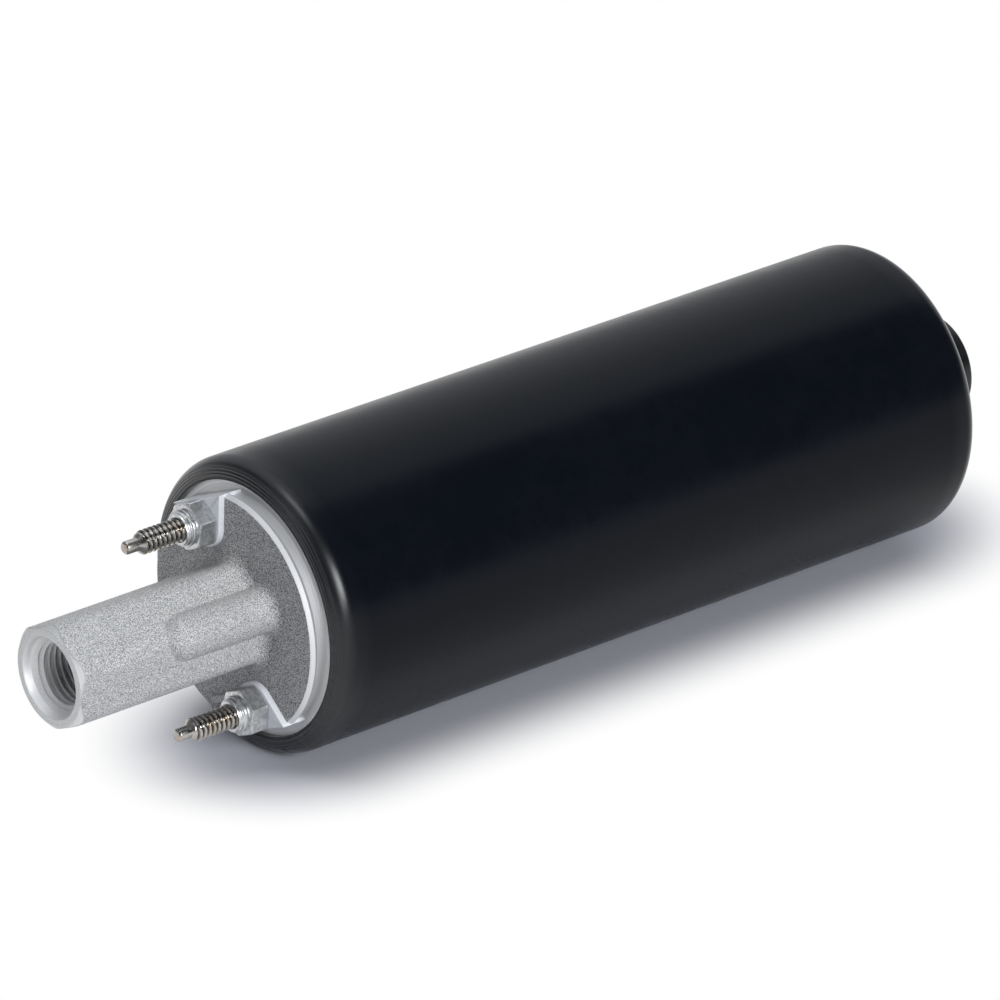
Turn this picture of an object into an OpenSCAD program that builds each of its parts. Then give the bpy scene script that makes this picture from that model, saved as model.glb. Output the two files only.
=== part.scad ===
// Inline electric fuel pump: a rolled steel can with a cast outlet cap, a permanent-magnet
// motor and a gerotor pump inside. X is the pump axis and points to the outlet, Z is up,
// and the origin is on the axis, halfway along the can. All sizes are in millimetres.

/* [Can] */
// Outside diameter of the can
can_d = 43; // [42.6:0.2:46]
// Length of the can over both rolled lips
can_l = 117.4; // [114:0.1:125]
// Wall of the can
can_wall = 1; // [0.8:0.1:1.2]
// Width of the lip rolled in over the outlet cap
outlet_lip_w = 3; // [2.8:0.1:3.2]
// Width of the lip rolled in over the inlet cap
inlet_lip_w = 4.6; // [4.2:0.1:5]
// Outside radius of the rolled corner at the outlet end
outlet_corner_r = 2.7; // [2.2:0.1:2.8]
// Outside radius of the rolled corner at the inlet end
inlet_corner_r = 2.3; // [2:0.1:2.8]

/* [Outlet cap] */
// Length of the outlet boss beyond the can's lip
outlet_reach = 34; // [33:0.5:40]
// Width of the hexagonal boss across its flats
hex_af = 14.4; // [14:0.1:15]
// Corner radius of the hexagonal boss
hex_round = 2.8; // [2:0.1:3.2]
// Radius of the round plate that carries the terminals
plate_r = 17.5; // [17:0.1:17.8]
// Height of the plate's face beyond the can's lip
plate_rise = 2.1; // [1.8:0.1:2.6]
// Thickness of the cap's flange inside the can
outlet_flange_t = 8; // [7.5:0.1:9]
// Radius of the rounded ridge over the relief valve
ridge_r = 3.2; // [3.1:0.1:3.5]
// Distance of the ridge's axis from the pump axis
ridge_offset = 7; // [6.9:0.1:7.4]
// Length of the ridge beyond the plate, to the middle of its round end
ridge_l = 13.6; // [13.2:0.1:14.4]

/* [Inlet cap] */
// Length of the inlet boss beyond the can's lip
inlet_reach = 11.4; // [9.8:0.1:12]
// Wall of the inlet boss outside its thread
inlet_boss_wall = 2.7; // [1.2:0.1:3.2]
// Thickness of the inlet cap inside the can
inlet_flange_t = 10.5; // [10:0.5:13]

/* [Ports] */
// Nominal thread diameter of both ports
port_d = 10; // [9.6:0.1:10.2]
// Pitch of the port threads
port_pitch = 1; // [0.75:0.25:1.25]
// Length of the outlet thread
outlet_thread_l = 11; // [10:1:12]
// Length of the inlet thread
inlet_thread_l = 8; // [7:1:9]
// Bore behind each port thread
port_bore = 7.8; // [7.6:0.1:8]

/* [Terminals] */
// Distance between the two terminal studs
stud_spacing = 26.8; // [26.4:0.2:27.2]
// Nominal thread diameter of the studs
stud_d = 3.5; // [3.2:0.1:3.6]
// Pitch of the stud threads
stud_pitch = 0.8; // [0.7:0.05:0.9]
// Height of the stud tips beyond the can's lip
stud_reach = 16.6; // [16:0.2:18]
// Width of the terminal nuts across their flats
nut_af = 6.35; // [6:0.05:6.5]
// Thickness of the terminal nuts
nut_t = 2.8; // [2.4:0.1:3]
// Height of the insulators above the plate
insulator_rise = 0.9; // [0.7:0.1:1.2]
// Radius of the insulator around its stud
insulator_r = 3.7; // [3.6:0.1:3.9]
// Width of the insulator along its outer chord
insulator_w = 11.5; // [11:0.1:12]
// Distance of the insulator's outer chord from the pump axis
insulator_chord = 16.6; // [16.4:0.1:16.9]

/* [Motor] */
// Diameter of the armature shaft
shaft_d = 5; // [4.8:0.1:5.2]
// Thickness of the magnets
magnet_t = 5.15; // [5:0.05:5.4]
// Width of an armature tooth between two winding slots
tooth_w = 1.9; // [1.6:0.1:2.2]
// Room for the leads between the chokes and the outlet cap
lead_room = 2.8; // [2.4:0.1:3.4]
// Gap between the laminations and the magnets
air_gap = 0.5; // [0.4:0.05:0.7]
// Wall of the steel flux ring
flux_wall = 1.9; // [1.6:0.1:2]
// Angle that each magnet spans
magnet_a = 130; // [120:1:134]
// Diameter of the commutator
commutator_d = 15; // [14.4:0.1:15.4]
// Width of a carbon brush
brush_w = 5; // [4.6:0.1:5.2]
// Travel of a brush against its spring
brush_travel = 1.2; // [0.8:0.1:1.5]

/* [Pump] */
// Width of the gerotor set
rotor_w = 8; // [7:0.5:9]
// Offset of the outer rotor's axis
rotor_e = 1.15; // [1.1:0.01:1.18]
// Distance of the outer rotor's lobes from its axis
lobe_at = 10.5; // [10.4:0.05:10.6]
// Radius of the outer rotor's lobes
lobe_r = 2.6; // [2.5:0.05:2.7]
// Diameter of the outer rotor
outer_rotor_d = 26.8; // [26.6:0.1:27]
// Thickness of the bearing plate
bearing_plate_t = 6; // [5.5:0.5:7]
// Thickness of the inlet plate
inlet_plate_t = 4; // [3.8:0.1:5]

/* [Valves] */
// Bore of the check valve seat
check_bore = 4; // [3.6:0.1:4.4]
// Lift of the check valve
check_lift = 2; // [1.5:0.1:2.2]
// Diameter of the relief ball
relief_ball_d = 3; // [2.8:0.1:3.2]
// Lift of the relief ball
relief_lift = 1; // [0.6:0.1:1.4]

/* [Hidden] */
$fn = 96;

// Colours of the real finishes
BLACK_PAINT = "#17181a";
CAST_GREY = "#9a9c9e";
NICKEL = "#b4b2ad";
ZINC = "#a9adb2";
GREY_PLASTIC = "#c3c6ca";
RUBBER = "#1c1c1c";
STEEL = "#8d9094";
BRONZE = "#a8793f";
BRASS = "#c9a24a";
COPPER = "#b06a3a";
CARBON = "#3a3a3c";
FERRITE = "#45444a";

// Clearances
eps = 0.01;         // overlap that keeps two joined shapes one solid
static_gap = 0.05;  // between pieces that are assembled and stay put
run_gap = 0.03;     // radial running fit of shafts and rotors
face_gap = 0.03;    // axial running clearance of rotors
guide_gap = 0.05;   // between a brush and its guide
free_gap = 0.4;     // between pieces that move past each other

// Directions around the axis, from +Y towards +Z
terminal_a = 114.4;                   // positive stud; the negative one is opposite
ridge_a = terminal_a - 90;            // relief valve ridge, over a corner of the hexagon
brush_a = ridge_a;                    // positive brush; the negative one is opposite
choke_a = brush_a + 45;               // positive choke, between its brush and its stud
opposite = 180;

// Radii of the casing
can_r = can_d / 2;
can_ri = can_r - can_wall;
fit_r = can_ri - static_gap;
outlet_lip_r = can_r - outlet_lip_w;
inlet_lip_r = can_r - inlet_lip_w;

// Stations along the axis, outlet side
lip_x = can_l / 2;
cap_x = lip_x - can_wall;
cap_back_x = cap_x - outlet_flange_t;
plate_x = lip_x + plate_rise;
port_x = lip_x + outlet_reach;
stud_tip_x = lip_x + stud_reach;
insulator_x = plate_x + insulator_rise;
nut_x = insulator_x + nut_t;
thread_end_x = port_x - outlet_thread_l;

// Stations along the axis, inlet side
far_x = -lip_x;
inlet_cap_x = far_x + can_wall;
inlet_back_x = inlet_cap_x + inlet_flange_t;
inlet_port_x = far_x - inlet_reach;
inlet_plate_x = inlet_back_x + inlet_plate_t;
rotor_x = inlet_plate_x + rotor_w;
bearing_x = rotor_x + bearing_plate_t;

// Ports
port_minor_r = port_d / 2 - 0.54 * port_pitch;
port_land = 0.52;  // share of the pitch that stays flat on a tapped crest
port_mouth_r = port_d / 2 + 0.96;
port_mouth_l = 1.1;
face_r = port_mouth_r + port_mouth_l;
boss_r = port_d / 2 + inlet_boss_wall;
bore_r = port_bore / 2;

// Terminals
stud_r = stud_d / 2;
stud_minor_r = stud_r - 0.6 * stud_pitch;
shank_r = stud_r - 0.3 * stud_pitch;
stud_land = 0.25;  // share of the pitch that stays flat on a stud's crest
stud_at = stud_spacing / 2;
dog_r = stud_r * 0.55;
dog_l = 2.1;
dog_taper = 0.8;
stud_head_r = stud_r + 1.4;
stud_head_t = 1.2;
stud_seal_t = 0.8;
sleeve_r = stud_r + 0.8;
washer_r = stud_r + 0.95;
washer_t = 0.75;

// Motor
shaft_r = shaft_d / 2;
fibre_t = 0.8;
end_turn_l = 4.2;
screw_head_l = 2;
turn_gap = 3;          // between the pump's screw heads and the end turns
commutator_gap = 0.6;  // between the end turns and the commutator
slots = 8;
slot_lip = 1.2;        // steel outside a winding slot
flux_r = fit_r - 0.15;
flux_ri = flux_r - flux_wall;
magnet_r = flux_ri - static_gap;
magnet_ri = magnet_r - magnet_t;
stack_r = magnet_ri - air_gap;
slot_pitch = sin(180 / slots);
slot_r = ((stack_r - slot_lip) * slot_pitch - tooth_w / 2) / (1 + slot_pitch);
slot_at = stack_r - slot_r - slot_lip;
magnet_over = 2;
flux_over = 2.5;
commutator_r = commutator_d / 2;
guide_wall = 0.6;
guide_r = fit_r - 1.1;
brush_at = 5.6;        // brush centre from the start of the commutator
commutator_l = brush_at + brush_w / 2 + 0.1;
holder_t = 5;
choke_post = 3.3;      // height of the posts under the chokes
choke_l = 7;
choke_x0 = cap_back_x - lead_room - choke_l;
holder_x = choke_x0 - choke_post - holder_t;
brush_x = holder_x - brush_w / 2 - guide_gap - guide_wall - static_gap;
commutator_x = brush_x - brush_at;
stack_x1 = commutator_x - commutator_gap - end_turn_l - fibre_t;
stack_x0 = bearing_x + screw_head_l + turn_gap + end_turn_l + fibre_t;
stack_l = stack_x1 - stack_x0;
brush_wire_r = 0.22;
brush_turns = 4;
brush_spring_l = brush_travel + 2 * brush_turns * brush_wire_r + 0.19;
brush_l = guide_r - guide_wall - 2 * static_gap - brush_spring_l - commutator_r;
bush_r = shaft_r + 2;
bush_l = holder_t + 1;
shaft_x1 = holder_x + bush_l + 1.3;
pilot_l = inlet_plate_t - 1;
shaft_x0 = inlet_plate_x - pilot_l + free_gap;
washer_thick = 0.5;
choke_at = 14;
choke_core_r = 1.5;
choke_wire_r = 0.35;
choke_coil_r = choke_core_r + choke_wire_r + static_gap;
choke_turns = 6;
wire_r = 0.35;

// Gerotor
outer_lobes = 7;
inner_teeth = outer_lobes - 1;
mesh_gap = 0.06;
outer_rotor_r = outer_rotor_d / 2;
root_r = lobe_at - lobe_r + 2 * rotor_e + 2 * mesh_gap;
kidney_ri = lobe_at - lobe_r - 1;
kidney_w = 3;
kidney_a = 120;
screw_r = 1.5;
screw_head_r = 2.6;
screw_at = fit_r - screw_head_r - 0.65;
screws = 3;
screw_a = 60;
drive_pin_r = 0.9;
drive_pin_l = shaft_d + 3;
drive_pin_x = rotor_x - 1.6;

// Check valve, in the bore of the outlet boss
seat_x = cap_x - 0.5;
seat_l = 3;
check_r = bore_r - 1;
check_head_l = 1.25;
check_seal_t = 0.7;
check_stem_r = 0.8;
check_x = seat_x + seat_l + static_gap;
check_wire_r = 0.22;
check_turns = 5;
check_spring_l = check_lift + 2 * check_turns * check_wire_r + 1.8;
cage_x = check_x + check_seal_t + check_head_l + check_spring_l;
cage_l = 2.5;

// Relief valve, in the ridge
relief_r = relief_ball_d / 2 + free_gap;
relief_mouth_r = relief_ball_d * 0.3;
relief_seat_x = plate_x + ridge_l - 7.2;
relief_drop = sqrt(pow(relief_ball_d / 2, 2) - pow(relief_mouth_r, 2));
relief_ball_x = relief_seat_x - relief_drop - static_gap;
relief_plug_x = cap_back_x + 0.5;
relief_wire_r = 0.2;
relief_turns = 8;
relief_spring_r = relief_ball_d * 0.37;
relief_spring_x1 = relief_ball_x - relief_spring_r;
relief_spring_l = relief_lift + 2 * relief_turns * relief_wire_r + 6.4;
relief_plug_l = relief_spring_x1 - relief_spring_l - static_gap - relief_plug_x;
cross_x = plate_x + ridge_l - 1.9;
cross_r = 0.8;

// Puts children on the pump axis at station x, with their z axis along +X
module at_x(x) translate([x, 0, 0]) rotate([90, 0, 90]) children();

// Moves children, already along +X, off the axis by r in direction a
module around(r, a) translate([0, r * cos(a), r * sin(a)]) children();

// Turns children so that their z axis points away from the pump axis in direction a
module outward(a) rotate([a - 90, 0, 0]) children();

// Plain disc or rod along +X
module rod(r, x0, x1) at_x(x0) cylinder(r = r, h = x1 - x0);

// Tube along +X
module tube(r, ri, x0, x1) {
    difference() {
        rod(r, x0, x1);
        rod(ri, x0 - 1, x1 + 1);
    }
}

// Half section of a drum with rounded edges, radius along x and length along y
module drum_section(r, l, r0, r1) {
    translate([0, r0]) square([r, l - r0 - r1]);
    square([r - r0, r0 + eps]);
    translate([0, l - r1 - eps]) square([r - r1, r1 + eps]);
    translate([r - r0, r0]) circle(r0);
    translate([r - r1, l - r1]) circle(r1);
}

// Drum along +X with rounded edges, r0 at its start and r1 at its end
module drum(r, x0, x1, r0, r1) {
    at_x(x0) rotate_extrude() intersection() {
        drum_section(r, x1 - x0, r0, r1);
        square([r + 1, x1 - x0 + 1]);
    }
}

// Rod along +X whose far end is a half ball around station x1
module round_nose(r, x0, x1) {
    at_x(x0) rotate_extrude() intersection() {
        union() {
            square([r, x1 - x0]);
            translate([0, x1 - x0]) circle(r);
        }
        square([r + 1, x1 - x0 + r + 1]);
    }
}

// Outline of a hexagon with rounded corners and a flat in direction 0
module round_hexagon(af, r) {
    inner = (af / 2 - r) / cos(30);
    steps = 6;
    polygon([
        for (k = [0:5], j = [0:steps])
            let (mid = 60 * k + 30, a = 60 * k + 60 * j / steps)
                inner * [cos(mid), sin(mid)] + r * [cos(a), sin(a)]
    ]);
}

// Half section of a rod with thread grooves; land is the share of a pitch that stays flat
function thread_points(l, pitch, low, high, land) = [
    for (i = [0:floor(l / pitch) - 1])
        each [
            [low, i * pitch],
            [low, (i + land) * pitch],
            [high, (i + 0.42 + 0.58 * land) * pitch],
            [high, (i + 0.58 + 0.42 * land) * pitch]
        ]
];

// Threaded rod with z from 0 to l; low and high are the radii between which it runs
module threaded(l, pitch, low, high, land) {
    turns = floor(l / pitch);
    rotate_extrude() polygon(concat(
        [[0, 0]],
        thread_points(l, pitch, low, high, land),
        [[low, turns * pitch], [low, l], [0, l]]
    ));
}

// Unbroken wire coil with z from 0 to l, mean radius r and wire radius w
module coil(r, w, l, turns) {
    steps = 16;
    sides = 6;
    n = steps * turns;
    rise = (l - 2 * w) / n;
    points = [
        for (i = [0:n], j = [0:sides - 1])
            let (a = 360 * i / steps, b = 360 * j / sides, p = r + w * cos(b))
                [p * cos(a), p * sin(a), w + rise * i + w * sin(b)]
    ];
    tube_faces = [
        for (i = [0:n - 1], j = [0:sides - 1])
            let (a = i * sides + j, b = i * sides + (j + 1) % sides)
                each [[a, b + sides, b], [a, a + sides, b + sides]]
    ];
    caps = [[for (j = [0:sides - 1]) j], [for (j = [sides - 1:-1:0]) n * sides + j]];
    polyhedron(points, concat(tube_faces, caps));
}

// Unit vector along v
function unit(v) = v / norm(v);

// Direction of a path of points at its point i
function heading(points, i) =
    i == 0 ? unit(points[1] - points[0])
    : i == len(points) - 1 ? unit(points[i] - points[i - 1])
    : unit(unit(points[i] - points[i - 1]) + unit(points[i + 1] - points[i]));

// Part of vector u that lies across direction t, as a unit vector
function across(u, t) = unit(u - (u * t) * t);

// Round wire along a list of points, with mitred bends
module wire(points, r) {
    sides = 8;
    n = len(points) - 1;
    start = [0.31, 0.52, 0.79];
    us = [
        for (i = 0, u = across(start, heading(points, 0)); i <= n;
            i = i + 1, u = i <= n ? across(u, heading(points, i)) : u) u
    ];
    rings = [
        for (i = [0:n], j = [0:sides - 1])
            let (t = heading(points, i), u = us[i], v = cross(t, u), b = 360 * j / sides)
                points[i] + r * (cos(b) * u + sin(b) * v)
    ];
    tube_faces = [
        for (i = [0:n - 1], j = [0:sides - 1])
            let (a = i * sides + j, b = i * sides + (j + 1) % sides)
                each [[a, b, b + sides], [a, b + sides, a + sides]]
    ];
    caps = [[for (j = [sides - 1:-1:0]) j], [for (j = [0:sides - 1]) n * sides + j]];
    polyhedron(rings, [for (f = concat(tube_faces, caps)) [for (k = [len(f) - 1:-1:0]) f[k]]]);
}

// Point at station x, radius r and direction a
function polar_point(x, r, a) = [x, r * cos(a), r * sin(a)];

// Can, with both ends rolled in
module can() {
    color(BLACK_PAINT) difference() {
        drum(can_r, far_x, lip_x, inlet_corner_r, outlet_corner_r);
        drum(can_ri, inlet_cap_x, cap_x, inlet_corner_r - can_wall, outlet_corner_r - can_wall);
        rod(outlet_lip_r, cap_x - 1, lip_x + 1);
        rod(inlet_lip_r, far_x - 1, inlet_cap_x + 1);
    }
}

// Outline of a terminal insulator, x away from the pump axis, grown by g
module insulator_outline(g) {
    half = insulator_w / 2 + g;
    dx = insulator_chord - stud_at;
    reach = norm([dx, half]);
    touch_a = atan2(half, dx) + acos((insulator_r + g) / reach);
    touch = (insulator_r + g) * [cos(touch_a), sin(touch_a)];
    translate([stud_at, 0]) {
        circle(insulator_r + g);
        polygon([[dx, half], touch, [touch[0], -touch[1]], [dx, -half]]);
    }
}

// Room that a terminal insulator takes in the outlet cap
module insulator_pocket(a) {
    edge = plate_r + 2;
    at_x(cap_x) rotate(a) {
        linear_extrude(plate_rise + can_wall + 1) {
            insulator_outline(static_gap);
            translate([insulator_chord - eps, -insulator_w / 2 - static_gap])
                square([edge - insulator_chord, insulator_w + 2 * static_gap]);
        }
        translate([stud_at, 0, -outlet_flange_t - 1])
            cylinder(r = sleeve_r + static_gap, h = outlet_flange_t + 2);
    }
}

// Groove for an O-ring, from station x
module o_ring_groove(x) {
    difference() {
        rod(can_r, x, x + o_ring_w + 0.3);
        rod(o_ring_ri, x - 1, x + o_ring_w + 1.3);
    }
}

o_ring_w = 2;
o_ring_ri = fit_r - o_ring_w;
outlet_ring_x = cap_back_x + 2.5;
inlet_ring_x = inlet_back_x - 4.5;
gallery_x = inlet_back_x - 3;
screen_rim = 0.8;
screen_rim_t = 0.5;

// O-ring in the groove from station x
module o_ring(x) {
    at_x(x + o_ring_w / 2 + 0.15) rotate_extrude()
        translate([o_ring_ri + o_ring_w / 2, 0]) circle(o_ring_w / 2);
}

// Cast body of the outlet cap, before its bores
module outlet_cap_body() {
    corner = outlet_corner_r - can_wall;
    edge = 0.5;
    boss_l = port_x - plate_x + 0.8;
    drum(fit_r, cap_back_x, cap_x - static_gap, 0.4, corner);
    at_x(cap_x - 1) rotate_extrude() polygon([
        [0, 0], [plate_r, 0], [plate_r, plate_x - cap_x + 1 - edge],
        [plate_r - edge, plate_x - cap_x + 1], [0, plate_x - cap_x + 1]
    ]);
    at_x(port_x - boss_l) rotate(terminal_a) intersection() {
        linear_extrude(boss_l) round_hexagon(hex_af, hex_round);
        rotate_extrude() polygon([
            [0, 0], [can_r, 0], [can_r, boss_l - can_r + face_r], [face_r, boss_l], [0, boss_l]
        ]);
    }
    around(ridge_offset, ridge_a) round_nose(ridge_r, plate_x - 1, plate_x + ridge_l);
    polarity_bar();
}

// Raised minus bar beside the negative terminal
module polarity_bar() {
    bar = [1.1, 4, 0.4];
    at_x(plate_x - eps) rotate(terminal_a + opposite)
        translate([stud_at - 2.2, -insulator_w / 2 - bar[1] - 0.9, 0]) cube(bar);
}

// Cuts for the port thread and its mouth, with z into the port from the face
module port_cut(thread_l) {
    lead = port_d / 2 - port_minor_r;
    translate([0, 0, -1]) cylinder(r = port_mouth_r, h = 1 + eps);
    cylinder(r1 = port_mouth_r, r2 = port_mouth_r - 0.41, h = port_mouth_l);
    translate([0, 0, port_mouth_l - eps])
        cylinder(r1 = port_mouth_r - 0.41, r2 = port_minor_r, h = port_mouth_r - 0.41 - port_minor_r);
    translate([0, 0, port_mouth_l]) threaded(thread_l - port_mouth_l, port_pitch, port_minor_r,
        port_minor_r + lead, port_land);
}

// Outlet cap with its port, valve bores and terminal pockets
module outlet_cap() {
    color(CAST_GREY) difference() {
        outlet_cap_body();
        translate([port_x, 0, 0]) rotate([0, -90, 0]) port_cut(outlet_thread_l);
        rod(bore_r, cap_back_x - 1, thread_end_x + 1);
        around(ridge_offset, ridge_a) {
            rod(relief_r, cap_back_x - 1, relief_seat_x);
            rod(relief_mouth_r, relief_seat_x - 1, cross_x + cross_r + free_gap);
        }
        translate([cross_x, 0, 0]) outward(ridge_a) cylinder(r = cross_r, h = ridge_offset);
        for (side = [0, opposite]) insulator_pocket(terminal_a + side);
        o_ring_groove(outlet_ring_x);
    }
}

// Inlet cap with its threaded boss
module inlet_cap() {
    corner = inlet_corner_r - can_wall;
    gallery_r = lobe_at;
    step_x = inlet_port_x + inlet_thread_l;
    rim_r = bore_r + screen_rim + static_gap;
    color(BLACK_PAINT) difference() {
        union() {
            drum(fit_r, inlet_cap_x + static_gap, inlet_back_x, corner, 0.4);
            rod(inlet_lip_r - 0.2, far_x - 0.3, inlet_cap_x + 1);
            drum(boss_r, inlet_port_x, far_x + 1, 0.5, 0.2);
        }
        translate([inlet_port_x, 0, 0]) rotate([0, 90, 0]) port_cut_plain(inlet_thread_l);
        rod(bore_r, step_x - 1, inlet_back_x + 1);
        rod(gallery_r, gallery_x, inlet_back_x + 1);
        rod(rim_r, gallery_x - screen_rim_t, gallery_x + 1);
        o_ring_groove(inlet_ring_x);
    }
}

// Cuts for the inlet thread, with a small chamfer at its mouth
module port_cut_plain(thread_l) {
    chamfer = port_d / 2 - port_minor_r + 0.1;
    translate([0, 0, -eps])
        cylinder(r1 = port_minor_r + chamfer, r2 = port_minor_r, h = chamfer);
    translate([0, 0, -1]) cylinder(r = port_minor_r, h = 1 + chamfer);
    translate([0, 0, chamfer]) threaded(thread_l - chamfer, port_pitch, port_minor_r,
        port_d / 2, port_land);
}

module outlet_o_ring() color(RUBBER) o_ring(outlet_ring_x);

module inlet_o_ring() color(RUBBER) o_ring(inlet_ring_x);

// Terminal stud with an inside head, a thread and a plain dog point
module terminal_stud(a) {
    thread_x = nut_x + 2 * washer_t + 0.2;
    cone_x = stud_tip_x - dog_l - dog_taper;
    chamfer = 0.3;
    color(NICKEL) around(stud_at, a) {
        rod(stud_head_r, cap_back_x - stud_seal_t - stud_head_t, cap_back_x - stud_seal_t);
        rod(shank_r, cap_back_x - stud_seal_t - eps, thread_x + eps);
        at_x(thread_x) threaded(cone_x - thread_x, stud_pitch, stud_r, stud_minor_r, stud_land);
        at_x(cone_x - eps) rotate_extrude() polygon([
            [0, 0], [stud_r, 0], [dog_r, dog_taper], [dog_r, dog_taper + dog_l - chamfer],
            [dog_r - chamfer, dog_taper + dog_l], [0, dog_taper + dog_l]
        ]);
    }
}

module stud_positive() terminal_stud(terminal_a);

module stud_negative() terminal_stud(terminal_a + opposite);

// Hexagonal terminal nut with rounded corners
module terminal_nut(a) {
    color(ZINC) around(stud_at, a) difference() {
        at_x(insulator_x) rotate(a) linear_extrude(nut_t) round_hexagon(nut_af, 0.5);
        rod(stud_r + static_gap, insulator_x - 1, nut_x + 1);
    }
}

module stud_nut_positive() terminal_nut(terminal_a);

module stud_nut_negative() terminal_nut(terminal_a + opposite);

// Stepped lock washer on the tip side of the nut
module lock_washer(a) {
    color(ZINC) around(stud_at, a) {
        tube(washer_r, stud_r + static_gap, nut_x, nut_x + washer_t);
        tube(washer_r - 0.35, stud_r + static_gap, nut_x + washer_t - eps, nut_x + 2 * washer_t);
    }
}

module lock_washer_positive() lock_washer(terminal_a);

module lock_washer_negative() lock_washer(terminal_a + opposite);

// Plastic insulator with the sleeve that lines the stud's hole
module insulator(a) {
    color(GREY_PLASTIC) difference() {
        at_x(cap_x + static_gap) rotate(a) {
            linear_extrude(insulator_x - cap_x - static_gap) intersection() {
                insulator_outline(0);
                circle(outlet_lip_r - free_gap);
            }
            translate([stud_at, 0, cap_back_x - cap_x])
                cylinder(r = sleeve_r, h = outlet_flange_t + eps);
        }
        around(stud_at, a) rod(stud_r + static_gap, cap_back_x - 2, insulator_x + 1);
    }
}

module insulator_positive() insulator(terminal_a);

module insulator_negative() insulator(terminal_a + opposite);

// Rubber washer that seals a stud from inside
module stud_seal(a) {
    color(RUBBER) around(stud_at, a)
        tube(stud_head_r, stud_r + static_gap, cap_back_x - stud_seal_t, cap_back_x);
}

module stud_seal_positive() stud_seal(terminal_a);

module stud_seal_negative() stud_seal(terminal_a + opposite);

// Seat ring of the check valve
module check_seat() {
    color(BRASS) difference() {
        rod(bore_r - static_gap, seat_x, seat_x + seat_l);
        rod(check_bore / 2, seat_x - 1, seat_x + seat_l + 1);
    }
}

// Poppet of the check valve, with a short nose and a guided stem
module check_poppet() {
    head_x = check_x + check_seal_t;
    color(BRASS) {
        rod(check_r * 0.4, check_x - 0.6, head_x + eps);
        rod(check_r, head_x, head_x + check_head_l);
        rod(check_stem_r, head_x + check_head_l - eps, cage_x + cage_l - 0.3);
    }
}

module check_seal() {
    color(RUBBER) tube(check_r - 0.1, check_r * 0.4 + static_gap, check_x, check_x + check_seal_t);
}

// Cage that guides the poppet's stem and lets fuel pass
module check_cage() {
    holes = 4;
    color(BRASS) difference() {
        rod(bore_r - static_gap, cage_x, cage_x + cage_l);
        rod(check_stem_r + run_gap, cage_x - 1, cage_x + cage_l + 1);
        for (k = [0:holes - 1])
            around(bore_r - 1.5, 360 / holes * k + 45) rod(0.9, cage_x - 1, cage_x + cage_l + 1);
    }
}

module check_spring() {
    x0 = check_x + check_seal_t + check_head_l + static_gap;
    color(STEEL) at_x(x0) coil(check_r - 1.2, check_wire_r, cage_x - static_gap - x0, check_turns);
}

module relief_ball() {
    color(STEEL) around(ridge_offset, ridge_a)
        translate([relief_ball_x, 0, 0]) sphere(d = relief_ball_d);
}

module relief_spring() {
    color(STEEL) around(ridge_offset, ridge_a) at_x(relief_spring_x1 - relief_spring_l)
        coil(relief_spring_r, relief_wire_r, relief_spring_l, relief_turns);
}

module relief_plug() {
    color(BRASS) around(ridge_offset, ridge_a)
        tube(relief_r - static_gap, 0.6, relief_plug_x, relief_plug_x + relief_plug_l);
}

// Plastic plate that carries the brushes, the outlet bush and the chokes
module brush_holder() {
    flow_holes = 4;
    post_r = choke_core_r + 0.4;
    color("#d8d2bd") difference() {
        union() {
            drum(fit_r - 0.2, holder_x, holder_x + holder_t, 0.4, 0.4);
            for (side = [0, opposite])
                around(choke_at, choke_a + side) rod(post_r, holder_x + 1, choke_x0);
            tube(bush_r + 1.8, bush_r, holder_x + 1, holder_x + bush_l);
        }
        rod(bush_r + static_gap / 2, holder_x - 1, holder_x + bush_l + 1);
        for (k = [0:flow_holes - 1])
            around(choke_at - 2, choke_a - 45 + 90 * k) rod(2.6, holder_x - 1, choke_x0 + 1);
        for (side = [0, opposite])
            around(fit_r - 0.7, brush_a + side) rod(0.9, holder_x - 1, choke_x0 + 1);
    }
}

module outlet_bush() color(BRONZE) tube(bush_r, shaft_r + run_gap, holder_x, holder_x + bush_l);

// Sheet brass box that guides a brush, closed at its outer end
module brush_guide(a) {
    inner = brush_w + 2 * guide_gap;
    outer = inner + 2 * guide_wall;
    r0 = commutator_r + 1.3;
    color(BRASS) translate([brush_x, 0, 0]) outward(a) difference() {
        translate([-outer / 2, -outer / 2, r0]) cube([outer, outer, guide_r - r0]);
        translate([-inner / 2, -inner / 2, r0 - 1]) cube([inner, inner, guide_r - r0 + 1 - guide_wall]);
        cylinder(r = 0.9, h = guide_r + 1);
    }
}

module brush_guide_positive() brush_guide(brush_a);

module brush_guide_negative() brush_guide(brush_a + opposite);

// Carbon brush with its face worn to the commutator
module brush(a) {
    r0 = commutator_r;
    color(CARBON) difference() {
        translate([brush_x, 0, 0]) outward(a)
            translate([-brush_w / 2, -brush_w / 2, r0 - 1]) cube([brush_w, brush_w, brush_l + 1]);
        rod(commutator_r + static_gap, brush_x - brush_w, brush_x + brush_w);
    }
}

module brush_positive() brush(brush_a);

module brush_negative() brush(brush_a + opposite);

module brush_spring(a) {
    z0 = commutator_r + brush_l + static_gap;
    color(STEEL) translate([brush_x, 0, 0]) outward(a) translate([0, 0, z0])
        coil(brush_w / 2 - 0.7, brush_wire_r, brush_spring_l, brush_turns);
}

module brush_spring_positive() brush_spring(brush_a);

module brush_spring_negative() brush_spring(brush_a + opposite);

// Flexible lead from a brush to its choke
module brush_shunt(a) {
    out = fit_r - 0.75;
    choke = polar_point(choke_x0 + 0.6, choke_at, a + 45);
    color(COPPER) wire([
        polar_point(brush_x, commutator_r + brush_l, a),
        polar_point(brush_x, out, a),
        polar_point(choke_x0 - 0.6, out, a),
        choke + [0, choke_coil_r * cos(a + 45), choke_coil_r * sin(a + 45)]
    ], wire_r);
}

module brush_shunt_positive() brush_shunt(brush_a);

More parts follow.
